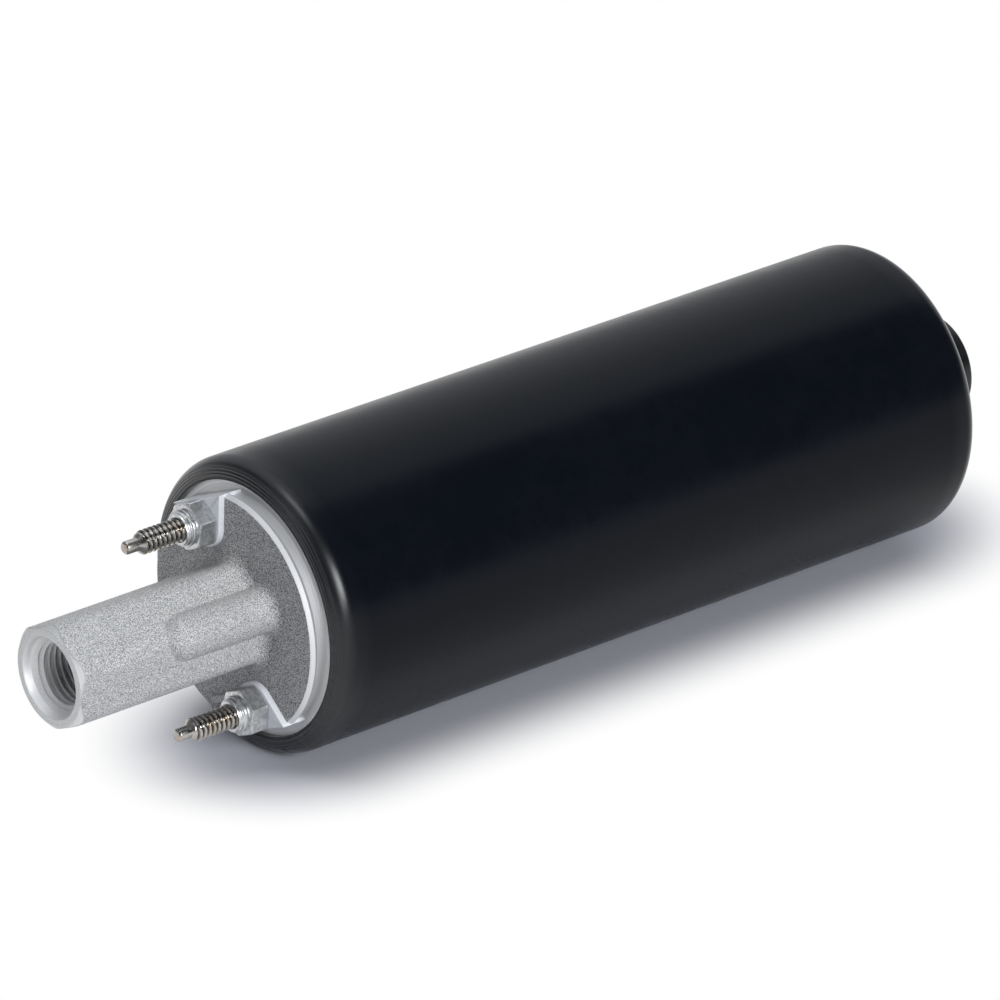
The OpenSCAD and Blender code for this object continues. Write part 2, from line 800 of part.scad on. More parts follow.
module brush_shunt_negative() brush_shunt(brush_a + opposite);

module choke_core(a) {
    color(FERRITE) around(choke_at, a) rod(choke_core_r, choke_x0, choke_x0 + choke_l);
}

module choke_core_positive() choke_core(choke_a);

module choke_core_negative() choke_core(choke_a + opposite);

module choke_coil(a) {
    color(COPPER) around(choke_at, a) at_x(choke_x0 + 0.4) rotate(a)
        coil(choke_coil_r, choke_wire_r, choke_l - 0.8, choke_turns);
}

module choke_coil_positive() choke_coil(choke_a);

module choke_coil_negative() choke_coil(choke_a + opposite);

// Stiff leads from the chokes to the heads of the studs
module choke_leads() {
    head_x = cap_back_x - stud_seal_t - stud_head_t;
    color(COPPER) for (side = [0, opposite])
        wire([
            polar_point(choke_x0 + choke_l - 0.7, choke_at + choke_coil_r, choke_a + side),
            polar_point(head_x - wire_r - 0.2, choke_at + 1, choke_a + side + 15),
            polar_point(head_x - wire_r, stud_at, terminal_a + side)
        ], wire_r);
}

module flux_ring() {
    color(STEEL) tube(flux_r, flux_ri, stack_x0 - magnet_over - flux_over,
        stack_x1 + magnet_over + flux_over);
}

// Arc along +X between two radii, centred on direction a
module arc_block(r, ri, span, a, x0, x1) {
    at_x(x0) rotate(a - span / 2) rotate_extrude(angle = span)
        translate([ri, 0]) square([r - ri, x1 - x0]);
}

module magnet(a) {
    color(FERRITE) arc_block(magnet_r, magnet_ri, magnet_a, a, stack_x0 - magnet_over,
        stack_x1 + magnet_over);
}

module magnet_upper() magnet(terminal_a);

module magnet_lower() magnet(terminal_a + opposite);

// Spring clips that push the magnets apart
module magnet_clips() {
    sheet = 0.6;
    gap_a = 180 - magnet_a;
    leg_a = sheet / magnet_ri * 180 / PI;
    shy = 0.3;
    x0 = stack_x0 + 1;
    x1 = stack_x1 - 1;
    color(STEEL) for (side = [0, opposite]) {
        a = ridge_a + side;
        arc_block(magnet_r, magnet_r - sheet, gap_a - 2 * shy, a, x0, x1);
        for (s = [-1, 1])
            arc_block(magnet_r - sheet / 2, magnet_ri + 0.6, leg_a, a + s * (gap_a / 2 - shy
                - leg_a / 2), x0, x1);
    }
}

module armature_shaft() {
    color(STEEL) difference() {
        drum(shaft_r, shaft_x0, shaft_x1, 0.4, 0.4);
        translate([drive_pin_x, 0, -shaft_d]) cylinder(r = drive_pin_r + run_gap, h = 2 * shaft_d);
    }
}

// Places children at every slot of the laminations
module each_slot() {
    for (k = [0:slots - 1]) around(slot_at, 360 / slots * k) children();
}

// Stack of laminations with its winding slots
module laminations() {
    mouth = 1.6;
    color(STEEL) difference() {
        rod(stack_r, stack_x0, stack_x1);
        rod(shaft_r + static_gap / 2, stack_x0 - 1, stack_x1 + 1);
        each_slot() rod(slot_r, stack_x0 - 1, stack_x1 + 1);
        for (k = [0:slots - 1])
            translate([stack_x0 - 1, 0, 0]) outward(360 / slots * k)
                translate([0, -mouth / 2, slot_at]) cube([stack_l + 2, mouth, stack_r]);
    }
}

// Copper windings: a bundle in every slot, joined by the end turns
module armature_windings() {
    bundle = slot_r - 0.15;
    ri = shaft_r + 1.5;
    r = slot_at + bundle;
    color(COPPER) {
        each_slot() rod(bundle, stack_x0 - fibre_t - 1, stack_x1 + fibre_t + 1);
        for (x = [stack_x0 - fibre_t - end_turn_l, stack_x1 + fibre_t])
            difference() {
                drum(r, x, x + end_turn_l, 1.2, 1.2);
                rod(ri, x - 1, x + end_turn_l + 1);
            }
    }
}

// Fibre discs between the laminations and the end turns
module end_insulators() {
    color("#7a2f22") for (x = [stack_x0 - fibre_t, stack_x1])
        difference() {
            rod(stack_r - 0.5, x, x + fibre_t);
            rod(shaft_r + static_gap, x - 1, x + fibre_t + 1);
            each_slot() rod(slot_r, x - 1, x + fibre_t + 1);
        }
}

// Commutator with one bar to each slot and a riser ring for the winding ends
module commutator() {
    cut = 0.5;
    cut_depth = 1;
    riser = 1.2;
    riser_rise = 0.9;
    color(COPPER) difference() {
        union() {
            rod(commutator_r, commutator_x, commutator_x + commutator_l);
            rod(commutator_r + riser_rise, commutator_x, commutator_x + riser);
        }
        rod(shaft_r + static_gap / 2, commutator_x - 1, commutator_x + commutator_l + 1);
        for (k = [0:slots - 1])
            translate([commutator_x - 1, 0, 0]) outward(360 / slots * (k + 0.5))
                translate([0, -cut / 2, commutator_r - cut_depth])
                    cube([commutator_l + 2, cut, cut_depth + 2 * riser_rise]);
    }
}

// Thrust washers at both ends of the armature
module thrust_washers() {
    color(NICKEL) {
        tube(bush_r - 0.2, shaft_r + static_gap / 2, holder_x - face_gap - washer_thick,
            holder_x - face_gap);
        tube(bush_r - 0.2, shaft_r + static_gap / 2, bearing_x + 1 + face_gap,
            bearing_x + 1 + face_gap + washer_thick);
    }
}

module drive_pin() {
    color(STEEL) translate([drive_pin_x, 0, -drive_pin_l / 2])
        cylinder(r = drive_pin_r, h = drive_pin_l);
}

// Places children at every screw of the pump stack
module each_screw() {
    for (k = [0:screws - 1]) around(screw_at, screw_a + 360 / screws * k) children();
}

// Curved port slot through a plate, centred on direction a
module kidney(a, x0, x1) {
    arc_block(kidney_ri + kidney_w, kidney_ri, kidney_a, a, x0, x1);
}

// Plate between the rotors and the motor, with the delivery slot
module bearing_plate() {
    color("#8f9396") difference() {
        rod(fit_r, rotor_x, bearing_x);
        rod(bush_r + static_gap / 2, rotor_x - 1, bearing_x + 1);
        each_screw() rod(screw_r + 0.1, rotor_x - 1, bearing_x + 1);
        kidney(90, rotor_x - 1, bearing_x + 1);
    }
}

module drive_bush() color(BRONZE) tube(bush_r, shaft_r + run_gap, rotor_x + face_gap, bearing_x + 1);

// Spacer ring around the rotors, bored off centre
module eccentric_ring() {
    color(STEEL) difference() {
        rod(fit_r, inlet_plate_x, rotor_x);
        translate([0, rotor_e, 0])
            rod(outer_rotor_r + static_gap, inlet_plate_x - 1, rotor_x + 1);
        each_screw() rod(screw_r + 0.1, inlet_plate_x - 1, rotor_x + 1);
    }
}

// Plate between the inlet cap and the rotors, with the suction slot
module inlet_plate() {
    color("#8f9396") difference() {
        rod(fit_r, inlet_back_x, inlet_plate_x);
        rod(shaft_r + run_gap, inlet_plate_x - pilot_l, inlet_plate_x + 1);
        each_screw() rod(screw_r - 0.05, inlet_plate_x - pilot_l, inlet_plate_x + 1);
        kidney(-90, inlet_back_x - 1, inlet_plate_x + 1);
    }
}

module stack_screws() {
    socket_r = 1.3;
    socket_l = 1.2;
    color(ZINC) each_screw() difference() {
        union() {
            rod(screw_r - 0.1, inlet_plate_x - pilot_l + 0.4, bearing_x + 1);
            rod(screw_head_r, bearing_x, bearing_x + screw_head_l);
        }
        at_x(bearing_x + screw_head_l - socket_l) cylinder(r = socket_r, h = 2 * socket_l, $fn = 6);
    }
}

// Path of an outer lobe's centre as the inner rotor sees it
function lobe_path(v) = lobe_at * [cos(v), sin(v)]
    + rotor_e * [cos(outer_lobes * v), sin(outer_lobes * v)];

// Direction of that path
function lobe_heading(v) = lobe_at * [-sin(v), cos(v)]
    + outer_lobes * rotor_e * [-sin(outer_lobes * v), cos(outer_lobes * v)];

// Flank of the inner rotor: the path moved inwards by the lobe's radius
function rotor_flank(v) =
    let (t = lobe_heading(v), n = [-t[1], t[0]] / norm(t))
        lobe_path(v) + (lobe_r + mesh_gap) * n;

// Inner rotor with the slot for the drive pin
module inner_rotor() {
    steps = 40 * inner_teeth;
    slot_w = 2 * drive_pin_r + 0.3;
    color("#77797c") difference() {
        at_x(inlet_plate_x + face_gap) linear_extrude(rotor_w - 2 * face_gap)
            polygon([for (k = [0:steps - 1]) rotor_flank(360 * k / steps)]);
        rod(shaft_r + run_gap, inlet_plate_x - 1, rotor_x + 1);
        translate([drive_pin_x - slot_w / 2, -slot_w / 2, -drive_pin_l / 2 - 0.2])
            cube([rotor_w, slot_w, drive_pin_l + 0.4]);
    }
}

// Outer rotor: a ring with round lobes inside
module outer_rotor() {
    color("#6c6e71") translate([0, rotor_e, 0]) {
        difference() {
            rod(outer_rotor_r, inlet_plate_x + face_gap, rotor_x - face_gap);
            difference() {
                rod(root_r, inlet_plate_x - 1, rotor_x + 1);
                for (k = [0:outer_lobes - 1])
                    around(lobe_at, 360 / outer_lobes * k)
                        rod(lobe_r, inlet_plate_x - 2, rotor_x + 2);
            }
        }
    }
}

// Strainer cup in the inlet bore, its closed end towards the port
module inlet_screen() {
    rows = 4;
    holes = 8;
    hole_r = 0.6;
    wall = 0.35;
    r = bore_r - 0.6;
    x0 = inlet_port_x + inlet_thread_l + 0.6;
    x1 = gallery_x - static_gap;
    row_pitch = (x1 - x0 - 2 * wall - 2 * hole_r) / rows;
    color(NICKEL) difference() {
        union() {
            rod(r, x0, x1);
            rod(bore_r + screen_rim, gallery_x - screen_rim_t + static_gap, x1);
        }
        rod(r - wall, x0 + wall, x1 + 1);
        for (i = [0:rows - 1], k = [0:holes - 1])
            translate([x0 + wall + 1.3 * hole_r + row_pitch * i, 0, 0])
                outward(360 / holes * (k + 0.5 * (i % 2)))
                    cylinder(r = hole_r, h = bore_r);
    }
}

can();
outlet_cap();
inlet_cap();
outlet_o_ring();
inlet_o_ring();
stud_positive();
stud_negative();
stud_nut_positive();
stud_nut_negative();
lock_washer_positive();
lock_washer_negative();
insulator_positive();
insulator_negative();
stud_seal_positive();
stud_seal_negative();
check_seat();
check_cage();
check_poppet();
check_seal();
check_spring();
relief_ball();
relief_spring();
relief_plug();
brush_holder();
outlet_bush();
brush_guide_positive();
brush_guide_negative();
brush_positive();
brush_negative();
brush_spring_positive();
brush_spring_negative();
brush_shunt_positive();
brush_shunt_negative();
choke_core_positive();
choke_core_negative();
choke_coil_positive();
choke_coil_negative();
choke_leads();
flux_ring();
magnet_upper();
magnet_lower();
magnet_clips();
armature_shaft();
laminations();
armature_windings();
end_insulators();
commutator();
thrust_washers();
drive_pin();
bearing_plate();
drive_bush();
eccentric_ring();
inlet_plate();
stack_screws();
inner_rotor();
outer_rotor();
inlet_screen();
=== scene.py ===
"""Looks of an inline electric fuel pump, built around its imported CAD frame.

The pump's axis is X, pointing to the outlet, and Z is up. Sizes in the classes are in
millimetres, and a mesh is turned into metres when it is made.
"""

import logging
from dataclasses import dataclass
from enum import Enum
from typing import Callable, Optional

import bpy
import numpy as np
from mathutils import Matrix, Vector


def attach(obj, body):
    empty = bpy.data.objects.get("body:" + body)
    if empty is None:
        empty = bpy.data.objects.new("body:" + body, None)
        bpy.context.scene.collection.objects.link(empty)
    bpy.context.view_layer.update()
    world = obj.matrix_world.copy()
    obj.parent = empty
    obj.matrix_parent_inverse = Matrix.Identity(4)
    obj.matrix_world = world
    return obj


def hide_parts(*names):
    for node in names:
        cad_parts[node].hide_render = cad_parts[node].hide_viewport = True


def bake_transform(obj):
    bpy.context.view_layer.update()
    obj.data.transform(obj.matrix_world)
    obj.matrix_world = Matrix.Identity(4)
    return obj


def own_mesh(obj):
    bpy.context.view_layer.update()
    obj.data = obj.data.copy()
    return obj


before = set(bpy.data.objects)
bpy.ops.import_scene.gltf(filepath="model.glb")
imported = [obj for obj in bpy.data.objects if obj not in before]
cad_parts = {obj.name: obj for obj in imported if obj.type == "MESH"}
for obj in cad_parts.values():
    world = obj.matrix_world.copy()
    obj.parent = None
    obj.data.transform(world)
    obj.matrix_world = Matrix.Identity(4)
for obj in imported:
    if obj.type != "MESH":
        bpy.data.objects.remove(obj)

LOG = logging.getLogger("fuel_pump")
MM = 0.001
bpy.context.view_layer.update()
Colour = tuple[float, float, float]
# A ring around the axis: its station and radius, each one number or one for each direction,
# and then the values that are stored on its points.
Ring = tuple[object, ...]

# Shared stations and radii in millimetres, and directions in degrees.
TERMINAL_ANGLE = 114.4
RIDGE_ANGLE = 24.4
CHOKE_ANGLE = 69.4
CAN_R = 21.5
LIP_X = 58.7
FAR_X = -58.7
CAP_X = 57.7
CAP_BACK_X = 49.7
PLATE_X = 60.8
INSULATOR_X = 61.7
NUT_X = 64.5
PORT_X = 92.7
INLET_BACK_X = -47.2
INLET_PORT_X = -70.1
STUD_AT = 13.4


class Side(Enum):
    """The two terminals, with each one's direction around the axis in degrees."""

    POSITIVE = TERMINAL_ANGLE
    NEGATIVE = TERMINAL_ANGLE + 180.0

    @property
    def label(self) -> str:
        """Returns the word used in node names."""
        return self.name.lower()

    @property
    def turn(self) -> float:
        """Returns 0 or 180 degrees, from the positive side."""
        return self.value - TERMINAL_ANGLE


class Body(Enum):
    """The bodies of the CAD frame that new pieces move with."""

    CASING = "casing"
    POSITIVE_BRUSH = "positive_brush"
    NEGATIVE_BRUSH = "negative_brush"


# ---------------------------------------------------------------- mesh tools


def grid_faces(rows: int, cols: int, wrap_rows: bool, wrap_cols: bool) -> np.ndarray:
    """Quads of a grid of points numbered row by row.

    Args:
        rows: Number of rows.
        cols: Number of points in a row.
        wrap_rows: Joins the last row to the first.
        wrap_cols: Joins the last column to the first.

    Returns:
        Array of four point numbers for each face.
    """
    i = np.arange(rows if wrap_rows else rows - 1)[:, None]
    j = np.arange(cols if wrap_cols else cols - 1)[None, :]
    i2, j2 = (i + 1) % rows, (j + 1) % cols
    quads = np.stack([i * cols + j, i * cols + j2, i2 * cols + j2, i2 * cols + j], axis=-1)
    return quads.reshape(-1, 4)


def mesh_from_arrays(name: str, points: np.ndarray, quads: np.ndarray,
                     triangles: Optional[np.ndarray] = None) -> bpy.types.Object:
    """Makes a smooth-shaded object from whole arrays.

    Args:
        name: Name of the object and its mesh.
        points: Points in millimetres, one row each.
        quads: Four point numbers for each quad.
        triangles: Three point numbers for each triangle.

    Returns:
        The linked object, at the origin.
    """
    tris = np.empty((0, 3), int) if triangles is None else np.asarray(triangles, int)
    quads = np.asarray(quads, int).reshape(-1, 4)
    corners = np.concatenate([quads.ravel(), tris.ravel()]).astype(np.int32)
    sizes = np.concatenate([np.full(len(quads), 4), np.full(len(tris), 3)]).astype(np.int32)
    starts = np.concatenate([[0], np.cumsum(sizes)[:-1]]).astype(np.int32)
    mesh = bpy.data.meshes.new(name)
    mesh.vertices.add(len(points))
    mesh.vertices.foreach_set("co", (np.asarray(points, float) * MM).astype(np.float32).ravel())
    mesh.loops.add(len(corners))
    mesh.loops.foreach_set("vertex_index", corners)
    mesh.polygons.add(len(sizes))
    mesh.polygons.foreach_set("loop_start", starts)
    mesh.polygons.foreach_set("loop_total", sizes)
    mesh.update(calc_edges=True)
    mesh.validate()
    mesh.polygons.foreach_set("use_smooth", np.ones(len(mesh.polygons), bool))
    made = bpy.data.objects.new(name, mesh)
    bpy.context.scene.collection.objects.link(made)
    return made


def face_outwards(made: bpy.types.Object) -> bpy.types.Object:
    """Turns a closed mesh's faces round if they point inwards.

    They do if the sum over triangles of a point dotted with the cross product of the other two,
    which is six times the volume inside, is below 0.

    Args:
        made: Object with a closed mesh.

    Returns:
        The same object.
    """
    mesh = made.data
    mesh.calc_loop_triangles()
    tris = np.empty(len(mesh.loop_triangles) * 3, np.int32)
    mesh.loop_triangles.foreach_get("vertices", tris)
    points = np.empty(len(mesh.vertices) * 3, np.float32)
    mesh.vertices.foreach_get("co", points)
    a, b, c = np.swapaxes(points.reshape(-1, 3)[tris.reshape(-1, 3)].astype(float), 0, 1)
    if float(np.einsum("ij,ij->", a, np.cross(b, c))) < 0.0:
        mesh.flip_normals()
    return made


def sharpen(made: bpy.types.Object, degrees: float) -> bpy.types.Object:
    """Shades edges steeper than an angle as sharp, and returns the same object."""
    made.data.set_sharp_from_angle(angle=np.radians(degrees))
    return made


def mark_points(made: bpy.types.Object, name: str, values: np.ndarray) -> None:
    """Stores one number for each point of a mesh under a name, for materials to read."""
    layer = made.data.attributes.new(name, "FLOAT", "POINT")
    layer.data.foreach_set("value", np.asarray(values, np.float32).ravel())


def polar(x: np.ndarray, r: np.ndarray, degrees: np.ndarray) -> np.ndarray:
    """Points at stations x, radii r and directions around the axis, from +Y towards +Z."""
    a = np.radians(degrees)
    return np.stack(np.broadcast_arrays(x, r * np.cos(a), r * np.sin(a)), axis=-1)


def arc(cx: float, cr: float, radius: object, start: float, end: float, steps: int
        ) -> np.ndarray:
    """Points (station, radius) of a circular arc around the centre (cx, cr).

    A point is the centre plus the arc's radius times (cosine, sine) of an angle that runs evenly
    from start to end, 0 degrees along the axis and 90 away from it.
    """
    a = np.radians(np.linspace(start, end, steps))
    return np.stack([cx + radius * np.cos(a), cr + radius * np.sin(a)], axis=-1)


def around(steps: int) -> np.ndarray:
    """Evenly spaced directions in degrees over a full turn, without the repeated end."""
    return np.linspace(0.0, 360.0, steps, endpoint=False)


def line(x0: float, r0: float, x1: float, r1: float, steps: int = 2) -> np.ndarray:
    """Evenly spaced points from (x0, r0) to (x1, r1)."""
    return np.stack([np.linspace(x0, x1, steps), np.linspace(r0, r1, steps)], axis=-1)


def closed_grid(name: str, points: np.ndarray) -> bpy.types.Object:
    """Joins a grid of points into a ring-shaped solid, wrapping its rows and its columns."""
    quads = grid_faces(*points.shape[:2], True, True)
    return face_outwards(mesh_from_arrays(name, points.reshape(-1, 3), quads))


def lathe(name: str, profile: np.ndarray, segments: int) -> bpy.types.Object:
    """Turns a closed profile that stays off the axis into a ring-shaped solid.

    The point of row i and column j is the profile's point j turned by i shares of a full turn.

    Args:
        name: Name of the piece.
        profile: Closed loop of (station, radius) rows, without a repeated end.
        segments: Number of steps around the axis.

    Returns:
        The closed object, with its faces outwards.
    """
    return closed_grid(name, polar(*profile.T[:, None, :], around(segments)[:, None]))


def ring_points(rows: list[Ring], degrees: np.ndarray) -> np.ndarray:
    """Points of rings around the axis.

    Args:
        rows: The rings.
        degrees: Directions of their points.

    Returns:
        Points by ring and by direction.
    """
    one = np.ones_like(degrees)
    x, r = (np.stack([row[k] * one for row in rows]) for k in (0, 1))
    return polar(x, r, degrees[None, :])


def capped_tube(name: str, rings: np.ndarray, ends: np.ndarray) -> bpy.types.Object:
    """Joins rings into a tube, with each end closed by a fan around one point.

    Args:
        name: Name of the piece.
        rings: Points of the rings, by ring and by place on the ring.
        ends: The point past the first ring and the point past the last one.

    Returns:
        The closed object, with its faces outwards.
    """
    rows, cols = rings.shape[:2]
    j = np.arange(cols)
    on = (j + 1) % cols
    last = (rows - 1) * cols
    fans = np.concatenate([np.stack([np.full(cols, rows * cols), on, j], axis=-1),
                           np.stack([np.full(cols, rows * cols + 1), last + j, last + on],
                                    axis=-1)])
    points = np.concatenate([rings.reshape(-1, 3), ends])
    return face_outwards(mesh_from_arrays(name, points, grid_faces(rows, cols, False, True), fans))


def wire(name: str, path: np.ndarray, radius: float, sides: int) -> bpy.types.Object:
    """Carries a circle along a path, with both ends closed by a point.

    Each ring stands across the path's heading. Its first direction is carried on from ring to
    ring by taking off its part along the heading, so the tube doesn't twist.

    Args:
        name: Name of the piece.
        path: Points in millimetres, one row each.
        radius: Radius of the wire.
        sides: Number of points in a ring.

    Returns:
        The closed object.
    """
    step = np.gradient(path, axis=0)
    heading = step / np.linalg.norm(step, axis=1, keepdims=True)
    guide = np.array([0.31, 0.52, 0.79])
    ups = []
    for t in heading:
        guide = guide - (guide @ t) * t
        guide = guide / np.linalg.norm(guide)
        ups.append(guide)
    up = np.array(ups)
    side = np.cross(heading, up)
    b = np.radians(around(sides))
    rings = path[:, None, :] + radius * (np.cos(b)[None, :, None] * up[:, None, :]
                                         + np.sin(b)[None, :, None] * side[:, None, :])
    tip = 0.3 * radius
    ends = np.concatenate([path[:1] - tip * heading[:1], path[-1:] + tip * heading[-1:]])
    return capped_tube(name, rings, ends)


def smooth_path(corners: np.ndarray, steps: int, cut: float) -> np.ndarray:
    """Rounds the inner corners of a path with parabolas.

    Near a corner the path runs from a point before it to a point after it, on the curve
    (1-t)^2 A + 2t(1-t) corner + t^2 B. Neither point is past 0.45 of its side. The result is
    then read again at even spacing.

    Args:
        corners: Corner points in millimetres.
        steps: Number of points on each rounded corner.
        cut: Distance from a corner at which its rounding starts.

    Returns:
        Array of points along the rounded path.
    """
    reach, fewest, spacing = 0.45, 24, 0.25
    t = np.linspace(0.0, 1.0, steps)[:, None]
    parts = [corners[:1]]
    for k in range(1, len(corners) - 1):
        before, here, after = corners[k - 1], corners[k], corners[k + 1]
        back, on = before - here, after - here
        a = here + back * min(reach, cut / np.linalg.norm(back))
        b = here + on * min(reach, cut / np.linalg.norm(on))
        parts.append((1 - t) ** 2 * a + 2 * t * (1 - t) * here + t ** 2 * b)
    parts.append(corners[-1:])
    path = np.concatenate(parts)
    gaps = np.linalg.norm(np.diff(path, axis=0), axis=1)
    along = np.concatenate([[0.0], np.cumsum(gaps)])
    even = np.linspace(0.0, along[-1], max(fewest, int(along[-1] / spacing)))
    return np.stack([np.interp(even, along, path[:, k]) for k in range(3)], axis=-1)


def thread_wave(turns: np.ndarray, root_share: float) -> np.ndarray:
    """Height of a thread's ridge, from 0 in the root to 1 on the crest.

    Over one turn the height stays on the crest for an eighth, falls in a straight flank, stays
    in the root for the root's share, and rises again.

    Args:
        turns: Place along the thread, counted in turns.
        root_share: Share of a turn that stays in the root.

    Returns:
        Height for each place.
    """
    crest_share = 0.125
    from_root = np.abs((turns % 1.0) - 0.5) * 2.0
    return np.clip((from_root - root_share) / (1.0 - root_share - crest_share), 0.0, 1.0)


# ---------------------------------------------------------------- shader tools


class Nodes:
    """A material's node tree, with short calls for adding and joining nodes."""

    def __init__(self, tree: bpy.types.NodeTree) -> None:
        """Keeps the tree that new nodes go into."""
        self.tree = tree

    @classmethod
    def emptied(cls, owner: object) -> "Nodes":
        """Turns on a material's or a world's nodes, and clears them.

        Args:
            owner: The material or the world.

        Returns:
            Its empty node tree.
        """
        owner.use_nodes = True
        owner.node_tree.nodes.clear()
        return cls(owner.node_tree)

    def add(self, kind: str, **settings: object) -> bpy.types.Node:
        """Adds a node and sets its properties.

        Args:
            kind: Blender's name of the node type, without its first part.
            settings: Properties of the node.

        Returns:
            The new node.
        """
        node = self.tree.nodes.new("ShaderNode" + kind)
        for key, value in settings.items():
            setattr(node, key, value)
        return node

    def link(self, source: bpy.types.NodeSocket, target: bpy.types.NodeSocket) -> None:
        """Joins two sockets."""
        self.tree.links.new(source, target)

    def feed(self, value: object, target: bpy.types.NodeSocket) -> None:
        """Gives a socket its value.

        Args:
            value: Another socket, a number or a colour.
            target: The socket that takes it.
        """
        if isinstance(value, bpy.types.NodeSocket):
            self.link(value, target)
        else:
            target.default_value = (*value, 1.0) if isinstance(value, tuple) else value

    def math(self, operation: str, a: object, b: object = 0.0, clamp: bool = False
             ) -> bpy.types.NodeSocket:
        """Adds a Math node.

        Args:
            operation: Name of the operation.
            a: First value or socket.
            b: Second value or socket.
            clamp: Keeps the result between 0 and 1.

        Returns:
            The result's socket.
        """
        node = self.add("Math", operation=operation, use_clamp=clamp)
        self.feed(a, node.inputs[0])
        self.feed(b, node.inputs[1])
        return node.outputs[0]

    def product(self, a: object, b: object) -> bpy.types.NodeSocket:
        """Returns the socket of a times b."""
        return self.math("MULTIPLY", a, b)

    def total(self, a: object, b: object) -> bpy.types.NodeSocket:
        """Returns the socket of a plus b."""
        return self.math("ADD", a, b)

    def split(self, where: bpy.types.NodeSocket) -> list[bpy.types.NodeSocket]:
        """Adds a node that takes a place or a direction apart.

        Args:
            where: Socket of the place or direction.

        Returns:
            The sockets of its X, Y and Z.
        """
        node = self.add("SeparateXYZ")
        self.link(where, node.inputs[0])
        return list(node.outputs)

    def ramp(self, factor: bpy.types.NodeSocket, low: float, high: float,
             to_low: float, to_high: float) -> bpy.types.NodeSocket:
        """Maps a value smoothly from one span to another.

        Args:
            factor: The value's socket.
            low: Start of the span that is read.
            high: End of that span.
            to_low: Result at its start.
            to_high: Result at its end.

        Returns:
            The result's socket.
        """
        node = self.add("MapRange", interpolation_type="SMOOTHSTEP")
        self.link(factor, node.inputs["Value"])
        for name, value in (("From Min", low), ("From Max", high),
                            ("To Min", to_low), ("To Max", to_high)):
            node.inputs[name].default_value = value
        return node.outputs["Result"]

    def blend(self, factor: bpy.types.NodeSocket, a: object, b: object) -> bpy.types.NodeSocket:
        """Mixes two colours by a factor.

        Args:
            factor: Socket of the share of the second colour.
            a: First colour or socket.
            b: Second colour or socket.

        Returns:
            The mixed colour's socket.
        """
        node = self.add("Mix", data_type="RGBA")
        self.link(factor, node.inputs[0])
        self.feed(a, node.inputs[6])
        self.feed(b, node.inputs[7])
        return node.outputs[2]

    def place(self) -> bpy.types.NodeSocket:
        """Returns the socket of the place on the object, in metres."""
        return self.add("TexCoord").outputs["Object"]

    def noise(self, where: bpy.types.NodeSocket, per_metre: object, detail: float,
              roughness: float = 0.55) -> bpy.types.NodeSocket:
        """Adds a noise pattern.

        Args:
            where: Socket of the place that the pattern is read at.
            per_metre: Number of the pattern's features in a metre, or its socket.
            detail: Number of finer layers.
            roughness: Strength of the finer layers.

        Returns:
            The socket of the pattern's value.
        """
        node = self.add("TexNoise")
        self.feed(per_metre, node.inputs["Scale"])
        node.inputs["Detail"].default_value = detail
        node.inputs["Roughness"].default_value = roughness
        self.link(where, node.inputs["Vector"])
        return node.outputs["Fac"]

    def bump(self, height: bpy.types.NodeSocket, strength: float, distance: float
             ) -> bpy.types.NodeSocket:
        """Adds a Bump node.

        Args:
            height: Socket of the height.
            strength: Share of the bump that is used.
            distance: Height in metres of a value of one.

        Returns:
            The socket of the bent normal.
        """
        node = self.add("Bump")
        node.inputs["Strength"].default_value = strength
        node.inputs["Distance"].default_value = distance
        self.link(height, node.inputs["Height"])
        return node.outputs["Normal"]

    def attribute(self, name: str) -> bpy.types.NodeSocket:
        """Returns the socket of a number stored on the mesh's points."""
        return self.add("Attribute", attribute_name=name).outputs["Fac"]

    def group(self, tree: bpy.types.NodeTree, **values: float) -> bpy.types.Node:
        """Adds a shared group that is read at the place on the object.

        Args:
            tree: The group's node tree.
            values: Values of its number inputs.

        Returns:
            The group's node.
        """
        node = self.add("Group", node_tree=tree)
        self.link(self.place(), node.inputs["Place"])
        for label, value in values.items():
            node.inputs[label].default_value = value
        return node


